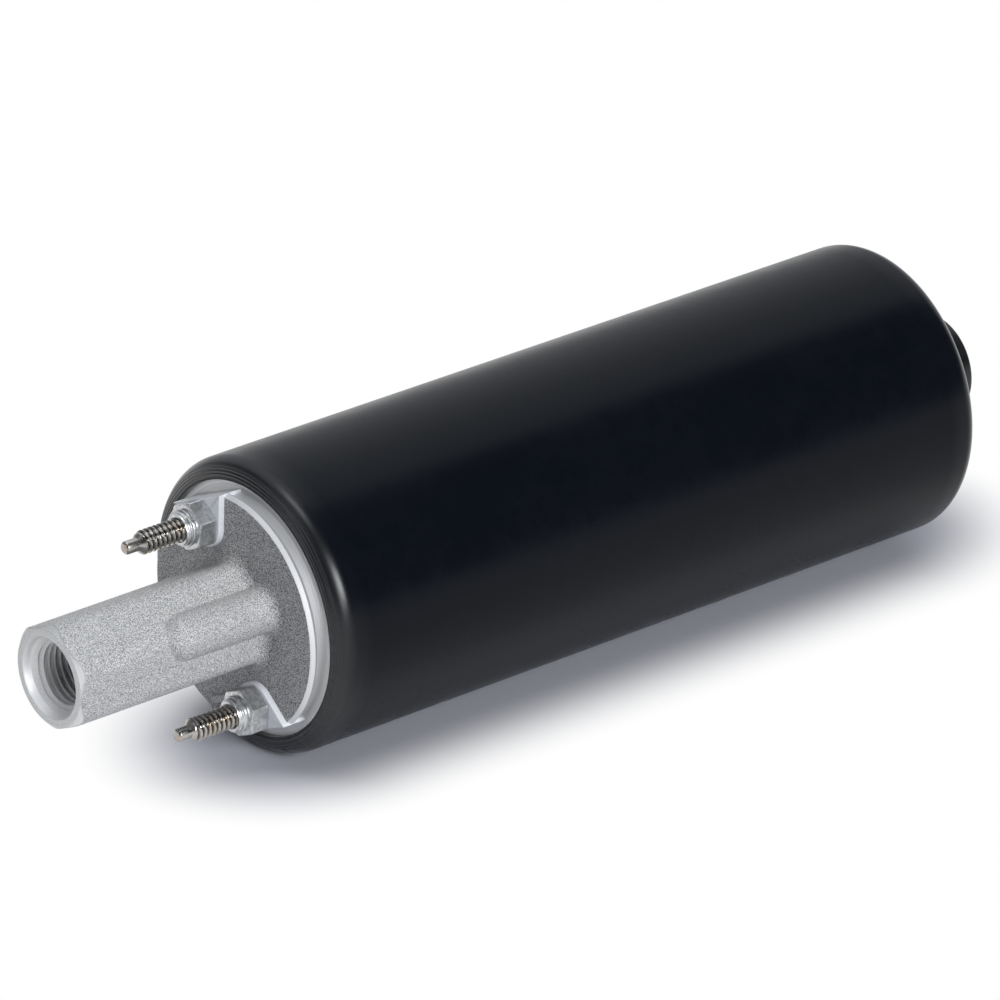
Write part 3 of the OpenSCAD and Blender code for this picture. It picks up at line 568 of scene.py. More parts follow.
class ShaderGroups:
    """Effects that several finishes share, each made once as a node group.

    LAYERS is the strength of the finer layers in every noise of a group.
    """

    LAYERS = 0.5

    def __init__(self) -> None:
        """Makes an empty shelf of groups."""
        self.made: dict[str, bpy.types.NodeTree] = {}

    def get(self, name: str, inputs: dict[str, float], outputs: tuple[str, ...],
            fill: Callable[[Nodes, bpy.types.Node, bpy.types.Node], None]) -> bpy.types.NodeTree:
        """Returns a group, and makes it the first time.

        Args:
            name: Name of the group.
            inputs: Names of its number inputs, with their usual values.
            outputs: Names of its number outputs.
            fill: Function that adds the nodes between the group's input and output nodes.

        Returns:
            The group's node tree.
        """
        if name not in self.made:
            tree = bpy.data.node_groups.new(name, "ShaderNodeTree")
            tree.interface.new_socket("Place", in_out="INPUT", socket_type="NodeSocketVector")
            for label, value in inputs.items():
                socket = tree.interface.new_socket(label, in_out="INPUT",
                                                   socket_type="NodeSocketFloat")
                socket.default_value = value
            for label in outputs:
                tree.interface.new_socket(label, in_out="OUTPUT", socket_type="NodeSocketFloat")
            fill(Nodes(tree), tree.nodes.new("NodeGroupInput"), tree.nodes.new("NodeGroupOutput"))
            self.made[name] = tree
        return self.made[name]

    def speckle(self) -> bpy.types.NodeTree:
        """Blasted or cast grain: fine noise over coarser noise, as a height and as a mask."""

        def fill(n: Nodes, start: bpy.types.Node, end: bpy.types.Node) -> None:
            """Adds two noises, one Grain in size and one three times as large, and mixes them."""
            fine_share, coarse_share, coarse_scale = 0.9, 0.1, 0.33
            place, grain = start.outputs["Place"], start.outputs["Grain"]
            fine = n.noise(place, grain, 2.0, self.LAYERS)
            coarse = n.noise(place, n.product(grain, coarse_scale), 2.0, self.LAYERS)
            both = n.total(n.product(fine, fine_share), n.product(coarse, coarse_share))
            n.link(both, end.inputs["Height"])
            n.link(n.ramp(both, 0.42, 0.58, 0.0, 1.0), end.inputs["Mask"])

        return self.get("cast_speckle", {"Grain": 3000.0}, ("Height", "Mask"), fill)

    def turning(self) -> bpy.types.NodeTree:
        """Marks of a lathe tool: fine rings of uneven depth along the axis and the radius."""

        def fill(n: Nodes, start: bpy.types.Node, end: bpy.types.Node) -> None:
            """Reads noise at the station and the radius alone, so it is even around the axis."""
            x, y, z = n.split(start.outputs["Place"])
            ring = n.add("CombineXYZ")
            n.link(x, ring.inputs["X"])
            n.link(n.math("SQRT", n.total(n.product(y, y), n.product(z, z))), ring.inputs["Y"])
            marks = n.noise(ring.outputs[0], start.outputs["Marks"], 2.0, self.LAYERS)
            n.link(marks, end.inputs["Height"])
            n.link(n.ramp(marks, 0.35, 0.65, 0.0, 1.0), end.inputs["Mask"])

        return self.get("turning_marks", {"Marks": 4000.0}, ("Height", "Mask"), fill)

    def handling(self) -> bpy.types.NodeTree:
        """Uneven gloss from handling: soft patches broken up by finer smudges."""

        def fill(n: Nodes, start: bpy.types.Node, end: bpy.types.Node) -> None:
            """Multiplies a broad noise by a finer one and maps the product to 0 to 1."""
            smudge_scale = 7.0
            place, patches = start.outputs["Place"], start.outputs["Patches"]
            broad = n.noise(place, patches, 3.0, self.LAYERS)
            fine = n.noise(place, n.product(patches, smudge_scale), 4.0, self.LAYERS)
            n.link(n.ramp(n.product(broad, fine), 0.15, 0.38, 0.0, 1.0), end.inputs["Mask"])

        return self.get("handling_smudges", {"Patches": 60.0}, ("Mask",), fill)


GROUPS = ShaderGroups()


class Pattern(Enum):
    """The surface patterns that a finish can have."""

    SPECKLE = "speckle"
    TURNING = "turning"


@dataclass(frozen=True)
class Finish:
    """A finish with a base and a second colour, mixed by the mask of a pattern.

    The colours are linear values. Scale counts the pattern's features in a metre, and patches
    those of the uneven gloss. Depth is the height of the bumps in metres.
    """

    name: str
    slot: str
    colour: Colour
    second: Colour
    metallic: float = 0.0
    rough: tuple[float, float] = (0.4, 0.5)
    pattern: Pattern = Pattern.SPECKLE
    scale: float = 3000.0
    bump: float = 0.2
    depth: float = 0.00004
    coat: float = 0.0
    coat_rough: float = 0.1
    specular: float = 0.5
    patches: float = 60.0

    def material(self) -> bpy.types.Material:
        """Builds the material, or returns the one made before.

        Returns:
            The finish as a material.
        """
        found = bpy.data.materials.get(self.name)
        if found is not None:
            return found
        made = bpy.data.materials.new(self.name)
        n = Nodes.emptied(made)
        shader = n.add("BsdfPrincipled")
        out = n.add("OutputMaterial")
        n.link(shader.outputs["BSDF"], out.inputs["Surface"])
        for label, value in (("Metallic", self.metallic), ("Coat Weight", self.coat),
                             ("Coat Roughness", self.coat_rough),
                             ("Specular IOR Level", self.specular)):
            shader.inputs[label].default_value = value
        self.dress(n, shader)
        return made

    def dress(self, n: Nodes, shader: bpy.types.Node) -> None:
        """Adds the colour, roughness and bump of this finish.

        Args:
            n: The material's nodes.
            shader: Its Principled shader.
        """
        height, mask = self.pattern_sockets(n)
        n.link(n.blend(mask, self.colour, self.second), shader.inputs["Base Color"])
        self.smudge(n, shader)
        n.link(n.bump(height, self.bump, self.depth), shader.inputs["Normal"])

    def smudge(self, n: Nodes, shader: bpy.types.Node) -> bpy.types.NodeSocket:
        """Varies the roughness in soft patches.

        Args:
            n: The material's nodes.
            shader: Its Principled shader.

        Returns:
            The socket of the patches' mask.
        """
        mask = n.group(GROUPS.handling(), Patches=self.patches).outputs["Mask"]
        n.link(n.ramp(mask, 0.0, 1.0, *self.rough), shader.inputs["Roughness"])
        return mask

    def pattern_sockets(self, n: Nodes) -> tuple[bpy.types.NodeSocket, bpy.types.NodeSocket]:
        """Adds this finish's pattern.

        Args:
            n: The material's nodes.

        Returns:
            The sockets of the pattern's height and mask.
        """
        if self.pattern is Pattern.TURNING:
            group = n.group(GROUPS.turning(), Marks=self.scale)
        else:
            group = n.group(GROUPS.speckle(), Grain=self.scale)
        return group.outputs["Height"], group.outputs["Mask"]


@dataclass(frozen=True)
class CastFinish(Finish):
    """Cast aluminium whose machined zones are marked by the point attribute 'turned'.

    A second point attribute holds painted shade: where it is 1 the cast colour becomes the
    darker shaded pair, standing in for shade on the plate's face, the fillet and the bore. Metal
    holds the metallic values of the cast and the turned zones.
    """

    turned: Colour = (0.70, 0.705, 0.715)
    turned_rough: tuple[float, float] = (0.58, 0.66)
    metal: tuple[float, float] = (0.15, 0.92)
    marks: float = 5200.0
    mark_share: float = 0.02
    mark_shade: float = 0.95
    # The darker pair that the painted shade mixes to.
    shaded: Colour = (0.02, 0.02, 0.0205)
    shaded_second: Colour = (0.36, 0.36, 0.364)

    def dress(self, n: Nodes, shader: bpy.types.Node) -> None:
        """Adds blasted grain and painted shade where it is cast, tool marks where it is turned.

        Args:
            n: The material's nodes.
            shader: Its Principled shader.
        """
        turned = n.attribute("turned")
        grain = n.group(GROUPS.speckle(), Grain=self.scale).outputs
        marks = n.group(GROUPS.turning(), Marks=self.marks).outputs
        plain = n.blend(grain["Mask"], self.colour, self.second)
        shade = n.blend(grain["Mask"], self.shaded, self.shaded_second)
        # Painted shade: the attribute turns the cast colour to the darker pair on the plate,
        # fillet and bore.
        cast = n.blend(n.attribute("painted_shade"), plain, shade)
        cut = n.blend(marks["Mask"], self.turned,
                      tuple(self.mark_shade * v for v in self.turned))
        n.link(n.blend(turned, cast, cut), shader.inputs["Base Color"])
        rough = n.add("Mix", data_type="FLOAT")
        n.link(turned, rough.inputs[0])
        n.link(n.ramp(grain["Mask"], 0.0, 1.0, *self.rough), rough.inputs[2])
        n.link(n.ramp(marks["Mask"], 0.0, 1.0, *self.turned_rough), rough.inputs[3])
        n.link(rough.outputs[0], shader.inputs["Roughness"])
        n.link(n.ramp(turned, 0.0, 1.0, *self.metal), shader.inputs["Metallic"])
        lift = n.product(grain["Height"], n.math("SUBTRACT", 1.0, turned))
        fine = n.product(marks["Height"], n.product(turned, self.mark_share))
        n.link(n.bump(n.total(lift, fine), self.bump, self.depth), shader.inputs["Normal"])


@dataclass(frozen=True)
class PaintFinish(Finish):
    """Black satin paint over steel, glossier where the point attribute 'rolled' is 1."""

    patches: float = 45.0
    rolled_coat: float = 0.8
    waves: float = 90.0
    wave_share: float = 1.6
    grain_share: float = 0.35

    def dress(self, n: Nodes, shader: bpy.types.Node) -> None:
        """Adds the paint's faint waviness, its gloss patches and its fine grain.

        Args:
            n: The material's nodes.
            shader: Its Principled shader.
        """
        n.link(n.blend(self.smudge(n, shader), self.colour, self.second),
               shader.inputs["Base Color"])
        n.link(n.product(n.attribute("rolled"), self.rolled_coat), shader.inputs["Coat Weight"])
        wave = n.noise(n.place(), self.waves, 2.0)
        grain = n.group(GROUPS.speckle(), Grain=self.scale).outputs["Height"]
        both = n.total(n.product(wave, self.wave_share), n.product(grain, self.grain_share))
        n.link(n.bump(both, self.bump, self.depth), shader.inputs["Normal"])


@dataclass(frozen=True)
class BronzedFinish(Finish):
    """Nickel plate on a stud, worn to a warm tint in patches, with painted shade in the thread's
    root.
    """

    warm: Colour = (0.40, 0.30, 0.20)
    warm_scale: float = 500.0
    warm_share: float = 0.6
    # Colour and share of the painted shade in the thread's root.
    root: Colour = (0.055, 0.045, 0.038)
    root_share: float = 0.92
    gloss_scale: float = 900.0

    def dress(self, n: Nodes, shader: bpy.types.Node) -> None:
        """Adds the plate's colour, its warm patches, painted shade in the root and fine tool
        marks.

        Args:
            n: The material's nodes.
            shader: Its Principled shader.
        """
        place = n.place()
        height, mask = self.pattern_sockets(n)
        plate = n.blend(mask, self.colour, self.second)
        worn = n.ramp(n.noise(place, self.warm_scale, 2.0), 0.5, 0.7, 0.0, self.warm_share)
        plate = n.blend(worn, plate, self.warm)
        # Painted shade in the thread's root, where light falls less.
        root_painted_shade = n.ramp(n.attribute("root"), 0.25, 0.95, 0.0, self.root_share)
        n.link(n.blend(root_painted_shade, plate, self.root), shader.inputs["Base Color"])
        gloss = n.noise(place, self.gloss_scale, 3.0)
        n.link(n.ramp(gloss, 0.35, 0.65, *self.rough), shader.inputs["Roughness"])
        n.link(n.bump(height, self.bump, self.depth), shader.inputs["Normal"])


class Finishes:
    """Every finish of the pump."""

    CAN = PaintFinish("can_black_paint", "can", (0.0030, 0.0042, 0.0066), (0.0036, 0.0049, 0.0075),
                      rough=(0.255, 0.285), scale=2600.0, bump=0.1, depth=0.00002, specular=0.1,
                      coat_rough=0.33)
    INLET = PaintFinish("inlet_black_paint", "inlet_cap", (0.0045, 0.005, 0.006),
                        (0.008, 0.0085, 0.010), rough=(0.3, 0.42), scale=3200.0, bump=0.2,
                        specular=0.42)
    CAST = CastFinish("outlet_cast_aluminium", "outlet_cap", (0.25, 0.25, 0.251),
                      (0.66, 0.66, 0.661), rough=(0.54, 0.42), scale=6600.0,
                      bump=1.0, depth=0.0002)
    NUT = Finish("nut_zinc_plate", "nut", (0.50, 0.51, 0.52), (0.66, 0.67, 0.68), metallic=0.95,
                 rough=(0.32, 0.44), scale=1800.0, bump=0.12)
    STUD = BronzedFinish("stud_nickel_plate", "stud", (0.42, 0.41, 0.39), (0.50, 0.49, 0.47),
                         metallic=1.0, rough=(0.2, 0.32), pattern=Pattern.TURNING, scale=2400.0,
                         bump=0.05, depth=0.00002)
    INSULATOR = Finish("insulator_grey_plastic", "insulator", (0.62, 0.63, 0.66),
                       (0.66, 0.67, 0.70), rough=(0.32, 0.42), scale=4200.0, bump=0.05,
                       depth=0.00003)
    RUBBER = Finish("seal_black_rubber", "o_ring", (0.012, 0.012, 0.012), (0.02, 0.02, 0.02),
                    rough=(0.5, 0.65), scale=3800.0, bump=0.2)
    BRASS = Finish("valve_brass", "brass", (0.62, 0.43, 0.17), (0.72, 0.52, 0.22), metallic=1.0,
                   rough=(0.22, 0.34), pattern=Pattern.TURNING, scale=3600.0, bump=0.1)
    BRONZE = Finish("bush_sintered_bronze", "bronze", (0.42, 0.25, 0.10), (0.54, 0.34, 0.15),
                    metallic=0.95, rough=(0.36, 0.5), scale=6200.0, bump=0.25)
    SPRING = Finish("spring_steel_wire", "spring", (0.46, 0.46, 0.47), (0.58, 0.58, 0.59),
                    metallic=1.0, rough=(0.2, 0.32), scale=2600.0, bump=0.06)
    STEEL = Finish("motor_ground_steel", "steel", (0.44, 0.45, 0.46), (0.55, 0.56, 0.57),
                   metallic=1.0, rough=(0.24, 0.36), pattern=Pattern.TURNING, scale=3200.0,
                   bump=0.12)
    SINTERED = Finish("rotor_sintered_steel", "sintered", (0.22, 0.225, 0.23),
                      (0.32, 0.325, 0.33), metallic=0.95, rough=(0.34, 0.5), scale=5400.0,
                      bump=0.25)
    ALLOY = Finish("pump_plate_alloy", "alloy_plate", (0.48, 0.49, 0.5), (0.6, 0.61, 0.62),
                   metallic=0.9, rough=(0.3, 0.44), pattern=Pattern.TURNING, scale=2400.0,
                   bump=0.14)
    HOLDER = Finish("holder_cream_plastic", "holder", (0.62, 0.56, 0.42), (0.67, 0.61, 0.47),
                    rough=(0.36, 0.5), scale=3000.0, bump=0.12)
    CARBON = Finish("brush_carbon", "carbon", (0.022, 0.022, 0.024), (0.045, 0.045, 0.048),
                    metallic=0.25, rough=(0.42, 0.58), scale=5200.0, bump=0.3)
    FERRITE = Finish("magnet_ferrite", "ferrite", (0.035, 0.034, 0.038), (0.06, 0.058, 0.064),
                     metallic=0.2, rough=(0.42, 0.56), scale=3600.0, bump=0.25)
    COPPER = Finish("winding_enamelled_copper", "copper", (0.44, 0.15, 0.05),
                    (0.58, 0.24, 0.09), metallic=0.9, rough=(0.2, 0.34), scale=2600.0, bump=0.18,
                    coat=0.4, coat_rough=0.12)
    FIBRE = Finish("fibre_red_insulation", "fibre", (0.20, 0.045, 0.03), (0.27, 0.07, 0.045),
                   rough=(0.5, 0.66), scale=4200.0, bump=0.3)
    SCREEN = Finish("screen_plated_strainer", "screen", (0.52, 0.5, 0.46), (0.64, 0.62, 0.58),
                    metallic=1.0, rough=(0.26, 0.38), scale=3000.0, bump=0.12)


def dress(piece: bpy.types.Object, finish: Finish, body: Body, *nodes: str) -> None:
    """Gives a new piece its finish and its place in the frame.

    Args:
        piece: The new piece.
        finish: Its finish.
        body: The body that it moves with.
        nodes: The CAD nodes that it stands for.
    """
    paint(piece, finish)
    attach(piece, body.value)
    if nodes:
        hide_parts(*nodes)
    LOG.info("built %s: %d faces", piece.name, len(piece.data.polygons))


def paint(piece: bpy.types.Object, finish: Finish) -> None:
    """Puts a finish on a new piece.

    Args:
        piece: The new piece.
        finish: Its finish.
    """
    piece.data.materials.clear()
    piece.data.materials.append(finish.material())


# ---------------------------------------------------------------- the can


@dataclass
class Can:
    """The rolled steel can, with its crimped lips."""

    wall: float = 1.0
    outlet_lip: float = 18.5
    inlet_lip: float = 16.9
    outlet_corner: float = 2.7
    inlet_corner: float = 2.3
    rolled_from: float = 46.0
    line_pitch: float = 10.0
    line_depth: float = 0.07
    face_line_pitch: float = 0.66
    face_line_depth: float = 0.11
    edge_round: float = 0.2
    gap: float = 0.02
    segments: int = 288

    def outside(self) -> np.ndarray:
        """Profile of the outside, from the inlet lip to the outlet lip.

        The straight barrel runs between two rounded corners. Rolling lines sink into the inner
        part of the outlet's corner, as a cosine of the angle that fades towards the barrel.

        Returns:
            Rows of (station, radius).
        """
        far, near = FAR_X, LIP_X
        c0, c1 = self.inlet_corner, self.outlet_corner
        barrel = line(far + c0, CAN_R, near - c1, CAN_R, 40)
        start = arc(far + c0, CAN_R - c0, c0, 180.0, 90.0, 16)[:-1]
        degrees = np.linspace(90.0, 0.0, 90)
        fade = np.clip((self.rolled_from - degrees) / 10.0, 0.0, 1.0)
        lines = 0.5 - 0.5 * np.cos(np.radians(degrees) * 360.0 / self.line_pitch)
        end = arc(near - c1, CAN_R - c1, c1 - self.line_depth * fade * lines, 90.0, 0.0, 90)[1:]
        return np.concatenate([start, barrel, end])

    def lip_face(self, station: float, outer: float, inner: float, sign: float) -> np.ndarray:
        """Profile across a lip's face, from its corner in to its edge.

        The face sinks by about a tenth along rings, as a cosine of the radius that fades
        towards both ends.

        Args:
            station: Station of the face.
            outer: Radius where the corner ends.
            inner: Radius of the lip's edge.
            sign: 1 where the face points along +X.

        Returns:
            Rows of (station, radius).
        """
        edge_r = inner + self.gap + self.edge_round
        r = np.linspace(outer, edge_r, 40)[1:]
        t = (outer - r) / (outer - inner)
        waves = 0.5 - 0.5 * np.cos(r * 2.0 * np.pi / self.face_line_pitch)
        dip = self.face_line_depth * waves * np.sin(np.pi * t) ** 0.5
        face = np.stack([station - sign * dip, r], axis=-1)
        angles = (0.0, -90.0) if sign > 0 else (180.0, 270.0)
        edge = arc(station - sign * self.edge_round, edge_r, self.edge_round, *angles, 7)[1:]
        return np.concatenate([face, edge])

    def build(self) -> None:
        """Builds the can."""
        near_face = self.lip_face(LIP_X, CAN_R - self.outlet_corner, self.outlet_lip, 1.0)
        far_face = self.lip_face(FAR_X, CAN_R - self.inlet_corner, self.inlet_lip, -1.0)[::-1]
        inner_r = CAN_R - self.wall
        near, far = self.outlet_corner - self.wall, self.inlet_corner - self.wall
        inside = np.concatenate([
            np.array([[CAP_X, self.outlet_lip + self.gap]]),
            arc(CAP_X - near, inner_r - near, near, 0.0, 90.0, 5),
            arc(FAR_X + self.wall + far, inner_r - far, far, 90.0, 180.0, 5),
            np.array([[FAR_X + self.wall, self.inlet_lip + self.gap]]),
        ])
        profile = np.concatenate([far_face, self.outside(), near_face, inside])
        made = sharpen(lathe("can_shell", profile, self.segments), 40.0)
        start = np.where(profile[:, 0] > 0.0, LIP_X - self.outlet_corner,
                         -FAR_X - self.inlet_corner)
        fade_l, at_start = 2.0, 0.2
        rolled = np.clip((np.abs(profile[:, 0]) - start) / fade_l + at_start, 0.0, 1.0)
        mark_points(made, "rolled", np.tile(rolled, self.segments))
        dress(made, Finishes.CAN, Body.CASING, "can")


# ---------------------------------------------------------------- the outlet cap


def soft_max(a: np.ndarray, b: np.ndarray, width: float) -> np.ndarray:
    """Larger of two values, with their meeting rounded over a width.

    It is the larger value plus width times the square of (1 - |a-b| / width) over four, where
    that bracket is above 0.

    Args:
        a: First values.
        b: Second values.
        width: Difference below which the two blend.

    Returns:
        The rounded maximum.
    """
    near = np.clip(1.0 - np.abs(a - b) / width, 0.0, None)
    return np.maximum(a, b) + width * near ** 2 / 4.0


@dataclass
class PortedCap:
    """What both end caps share: the fit in the can, the seal's groove and the port's thread."""

    fit_r: float = 20.45
    seal_r: float = 18.45
    back_chamfer: float = 0.4
    bore_r: float = 3.9
    minor_r: float = 4.46
    major_r: float = 5.0
    groove_share: float = 0.25
    run_out: float = 0.7
    columns: int = 288

    @property
    def directions(self) -> np.ndarray:
        """Returns the directions of a ring's points around the axis, in degrees."""
        return around(self.columns)

    def thread(self, turns: np.ndarray, left: float) -> np.ndarray:
        """Radius of the port's thread, whose grooves fade over the run-out at its inner end.

        The groove stays at the major radius for its share of each turn.

        Args:
            turns: Place along the thread in each direction, counted in turns.
            left: Distance to the thread's inner end in millimetres.

        Returns:
            Radius in each direction, in millimetres.
        """
        fade = float(np.clip(left / self.run_out, 0.0, 1.0))
        return self.minor_r + (self.major_r - self.minor_r) * fade * (
            1.0 - thread_wave(turns, self.groove_share))


@dataclass
class OutletCap(PortedCap):
    """The cast cap with the outlet port, the ridge and the plate for the terminals.

    The whole casting is one closed grid: a loop of rings that runs from the back face, out over
    the plate and the boss, and back through the bore. Each ring also holds its values of two
    marks: 'turned', 1 where the metal is fully machined, and painted shade, 1 where the colour is
    darkest, painted on the plate's face, the fillet at the boss's foot and the bore.
    """

    back_turned: float = 0.6
    port_turned: float = 0.7
    thread_turned: float = 0.85
    # Strengths of painted shade: on the plate's face, and in the bore.
    plate_shade: float = 0.62
    bore_shade: float = 0.7
    lip_clear: float = 0.05
    shoulder: float = 1.7
    seal_from: float = 2.5
    seal_to: float = 4.8
    neck_inset: float = 0.5
    neck_fillet: float = 0.9
    neck_top: float = LIP_X + 0.9
    plate_r: float = 17.5
    plate_bevel: float = 0.55
    bevel_inset: float = 0.42
    face_inset: float = 0.6
    pocket_chord: float = 16.65
    pocket_half: float = 5.8
    foot_r: float = 1.5
    hex_half: float = 7.2
    hex_round: float = 2.8
    ridge_r: float = 3.2
    ridge_at: float = 7.0
    ridge_end: float = PLATE_X + 13.6
    ridge_join: float = 1.1
    mouth_r: float = 5.96
    mouth_l: float = 1.1
    mouth_taper: float = 0.41
    chamfer_l: float = 2.5
    face_r: float = 7.06
    thread_l: float = 11.0
    # Length over which painted shade deepens into the port's thread.
    thread_shade_l: float = 8.0

    def hexagon(self) -> np.ndarray:
        """Radius of the rounded hexagon in each direction.

        Within a sixth of a turn, the flat gives half width over the cosine of the angle from
        its middle, and past the flat's end the corner's circle takes over.

        Returns:
            Radius in millimetres.
        """
        u = np.radians((self.directions - TERMINAL_ANGLE + 30.0) % 60.0 - 30.0)
        corner = np.radians(30.0)
        flat = self.hex_half / np.cos(u)
        at = (self.hex_half - self.hex_round) / np.cos(corner)
        v = corner - np.abs(u)
        inside = self.hex_round ** 2 - (at * np.sin(v)) ** 2
        round_part = at * np.cos(v) + np.sqrt(np.maximum(inside, 0.0))
        ends = np.arctan2(at * np.sin(corner), self.hex_half)
        return np.where(np.abs(u) <= ends, flat, round_part)

    def boss(self, x: float) -> np.ndarray:
        """Radius of the hexagonal boss and its rounded ridge in each direction, softly joined.

        A circle of radius p whose centre lies d from the axis reaches d cos u plus the root of
        p squared less d sin u squared. p shrinks as a half ball past the ridge's end.

        Args:
            x: Station.

        Returns:
            Radius in millimetres, that of the hexagon where the ridge isn't.
        """
        u = np.radians((self.directions - RIDGE_ANGLE + 180.0) % 360.0 - 180.0)
        over = np.clip(x - self.ridge_end, 0.0, self.ridge_r)
        p = np.sqrt(np.maximum(self.ridge_r ** 2 - over ** 2, 1e-9))
        inside = p ** 2 - (self.ridge_at * np.sin(u)) ** 2
        reach = self.ridge_at * np.cos(u) + np.sqrt(np.maximum(inside, 0.0))
        ridge = np.where((inside > 0.0) & (np.abs(u) < np.pi / 2), reach, 0.0)
        return soft_max(self.hexagon(), ridge, self.ridge_join)

    def plate_edge(self) -> np.ndarray:
        """Radius of the plate: its circle, cut back along the chord beside each terminal.

        Returns:
            Radius in each direction, in millimetres.
        """
        u = np.radians((self.directions - TERMINAL_ANGLE + 90.0) % 180.0 - 90.0)
        chord = self.pocket_chord / np.cos(u)
        inside = np.abs(chord * np.sin(u)) < self.pocket_half
        return np.where(inside, np.minimum(chord, self.plate_r), self.plate_r)

    def rim(self) -> list[Ring]:
        """Rings from the bore's back end over the rim and the neck to the plate's bevel.

        Returns:
            Rings with their marks.
        """
        back, fit, soft = CAP_BACK_X, self.fit_r, self.back_chamfer
        # The bore's back edge gets a little painted shade.
        rings: list[Ring] = [(back, self.bore_r, self.back_turned, 0.3)]
        rings += [(back + x, r, self.back_turned, 0.0) for x, r in (
            (0.0, 12.0), (0.0, fit - soft), (soft, fit), (self.seal_from, fit),
            (self.seal_from, self.seal_r), (self.seal_to, self.seal_r), (self.seal_to, fit))]
        top, round_r = CAP_X - self.lip_clear, self.shoulder
        rings += [(x, r, 1.0, 0.0)
                  for x, r in arc(top - round_r, fit - round_r, round_r, 90.0, 0.0, 6)]
        rings.append((top, 0.5 * (fit - round_r + 18.4), 1.0, 0.0))
        edge, taper = self.plate_edge(), 0.06
        neck = edge - self.neck_inset
        quarter = np.radians(90.0 * np.linspace(0.0, 1.0, 8))
        rings += [(top + (1.0 - np.cos(s)), neck + self.neck_fillet * (1.0 - np.sin(s)), 1.0, 0.0)
                  for s in quarter]
        rings.append((self.neck_top - 0.1, neck + taper, 1.0, 0.0))
        rise, flare = PLATE_X - self.plate_bevel - self.neck_top, self.neck_inset - taper
        rings += [(self.neck_top + rise * t,
                   neck + taper + flare * np.sin(np.radians(90.0 * t)), 1.0, 0.0)
                  for t in np.linspace(0.0, 1.0, 5)]
        rings += [(PLATE_X - self.plate_bevel * (1.0 - t), edge - self.bevel_inset * t, 1.0, 0.0)
                  for t in np.linspace(0.0, 1.0, 6)[1:]]
        return [*rings, (PLATE_X, edge - self.bevel_inset - 0.05, 0.4, 0.0)]

    def face(self) -> list[Ring]:
        """Rings of the plate's cast face and of the fillet at the boss's foot, both with painted
        shade that fades out up the fillet.

        Returns:
            Rings with their marks.
        """
        start, fillet = self.plate_edge() - self.face_inset, self.foot_r
        foot = self.boss(PLATE_X + fillet)
        rings: list[Ring] = [(PLATE_X, start + (foot + fillet - start) * t, 0.0, self.plate_shade)
                             for t in np.linspace(0.0, 1.0, 14)]
        rings += [(PLATE_X + fillet * (1.0 - np.cos(s)), foot + fillet * (1.0 - np.sin(s)), 0.0,
                   self.plate_shade * np.cos(s)) for s in np.radians(np.linspace(0.0, 90.0, 12)[1:])]
        return rings

    def port(self) -> list[Ring]:
        """Rings of the boss, with its ridge, up to the port's chamfer and its face.

        Returns:
            Rings with their marks.
        """
        # The steps are finer over the ridge's round end.
        stations = PLATE_X + np.concatenate([np.linspace(self.foot_r + 0.3, 13.0, 20),
                                             np.linspace(13.3, 17.6, 28)])
        rings: list[Ring] = [(x, self.boss(x), 0.0, 0.0) for x in stations]
        hexagon, chamfer_x, edge = self.hexagon(), PORT_X - self.chamfer_l, 0.12
        rings += [(x, hexagon, 0.0, 0.0) for x in np.linspace(PLATE_X + 18.2, chamfer_x, 12)]
        for x in np.linspace(chamfer_x, PORT_X - edge, 20)[1:]:
            cone = self.face_r + (PORT_X - x)
            rings.append((x, np.minimum(hexagon, cone),
                          np.clip((hexagon - cone) / edge, 0.0, 1.0), 0.0))
        rings += [(PORT_X - back, r, self.port_turned, 0.0) for back, r in (
            (0.03, self.face_r + 0.02), (0.0, self.face_r - 0.06),
            (0.0, 0.5 * (self.face_r + self.mouth_r)), (0.0, self.mouth_r + 0.05))]
        return rings

    def bore(self) -> list[Ring]:
        """Rings of the port's mouth, its thread and the bore behind it.

        Returns:
            Rings with their marks.
        """
        soft = 0.05
        rings: list[Ring] = [(PORT_X - soft - (self.mouth_l - soft) * t,
                              self.mouth_r - self.mouth_taper * t, 1.0, 0.0)
                             for t in np.linspace(0.0, 1.0, 5)]
        start = PORT_X - self.mouth_l - (self.mouth_r - self.mouth_taper - self.minor_r)
        end = PORT_X - self.thread_l
        for x in np.linspace(PORT_X - self.mouth_l - 0.06, end, 190):
            cone = np.maximum(self.minor_r, self.minor_r + (x - start))
            thread = self.thread((PORT_X - x) + self.directions / 360.0, x - end)
            # Painted shade deepens into the thread, and the bore behind is painted darker still.
            depth = np.clip((PORT_X - x) / self.thread_shade_l, 0.0, 1.0)
            rings.append((x, np.maximum(cone, thread), self.thread_turned, 0.5 * depth))
        rings += [(end - soft, self.bore_r + 0.1, self.port_turned, 0.6),
                  (end - 0.3, self.bore_r, self.port_turned, self.bore_shade)]
        return rings + [(x, self.bore_r, self.back_turned, self.bore_shade)
                        for x in np.linspace(end - 4.0, CAP_X, 3)]

    def build(self) -> None:
        """Builds the casting."""
        rings = self.rim() + self.face() + self.port() + self.bore()
        made = closed_grid("outlet_casting", ring_points(rings, self.directions))
        one = np.ones(self.columns)
        for label, k in (("turned", 2), ("painted_shade", 3)):
            mark_points(made, label, np.stack([ring[k] * one for ring in rings]))
        sharpen(made, 32.0)
        dress(made, Finishes.CAST, Body.CASING, "outlet_cap")

    def polarity_bar(self) -> None:
        """Builds the raised minus bar beside the negative terminal."""
        made = rounded_box("polarity_bar", np.array([PLATE_X + 0.12, -1.65, -8.65]),
                           np.array([0.26, 0.55, 1.95]), 0.16, 6)
        to_terminal(made, Side.NEGATIVE)
        for label in ("turned", "painted_shade"):
            mark_points(made, label, np.zeros(len(made.data.vertices)))
        dress(made, Finishes.CAST, Body.CASING)


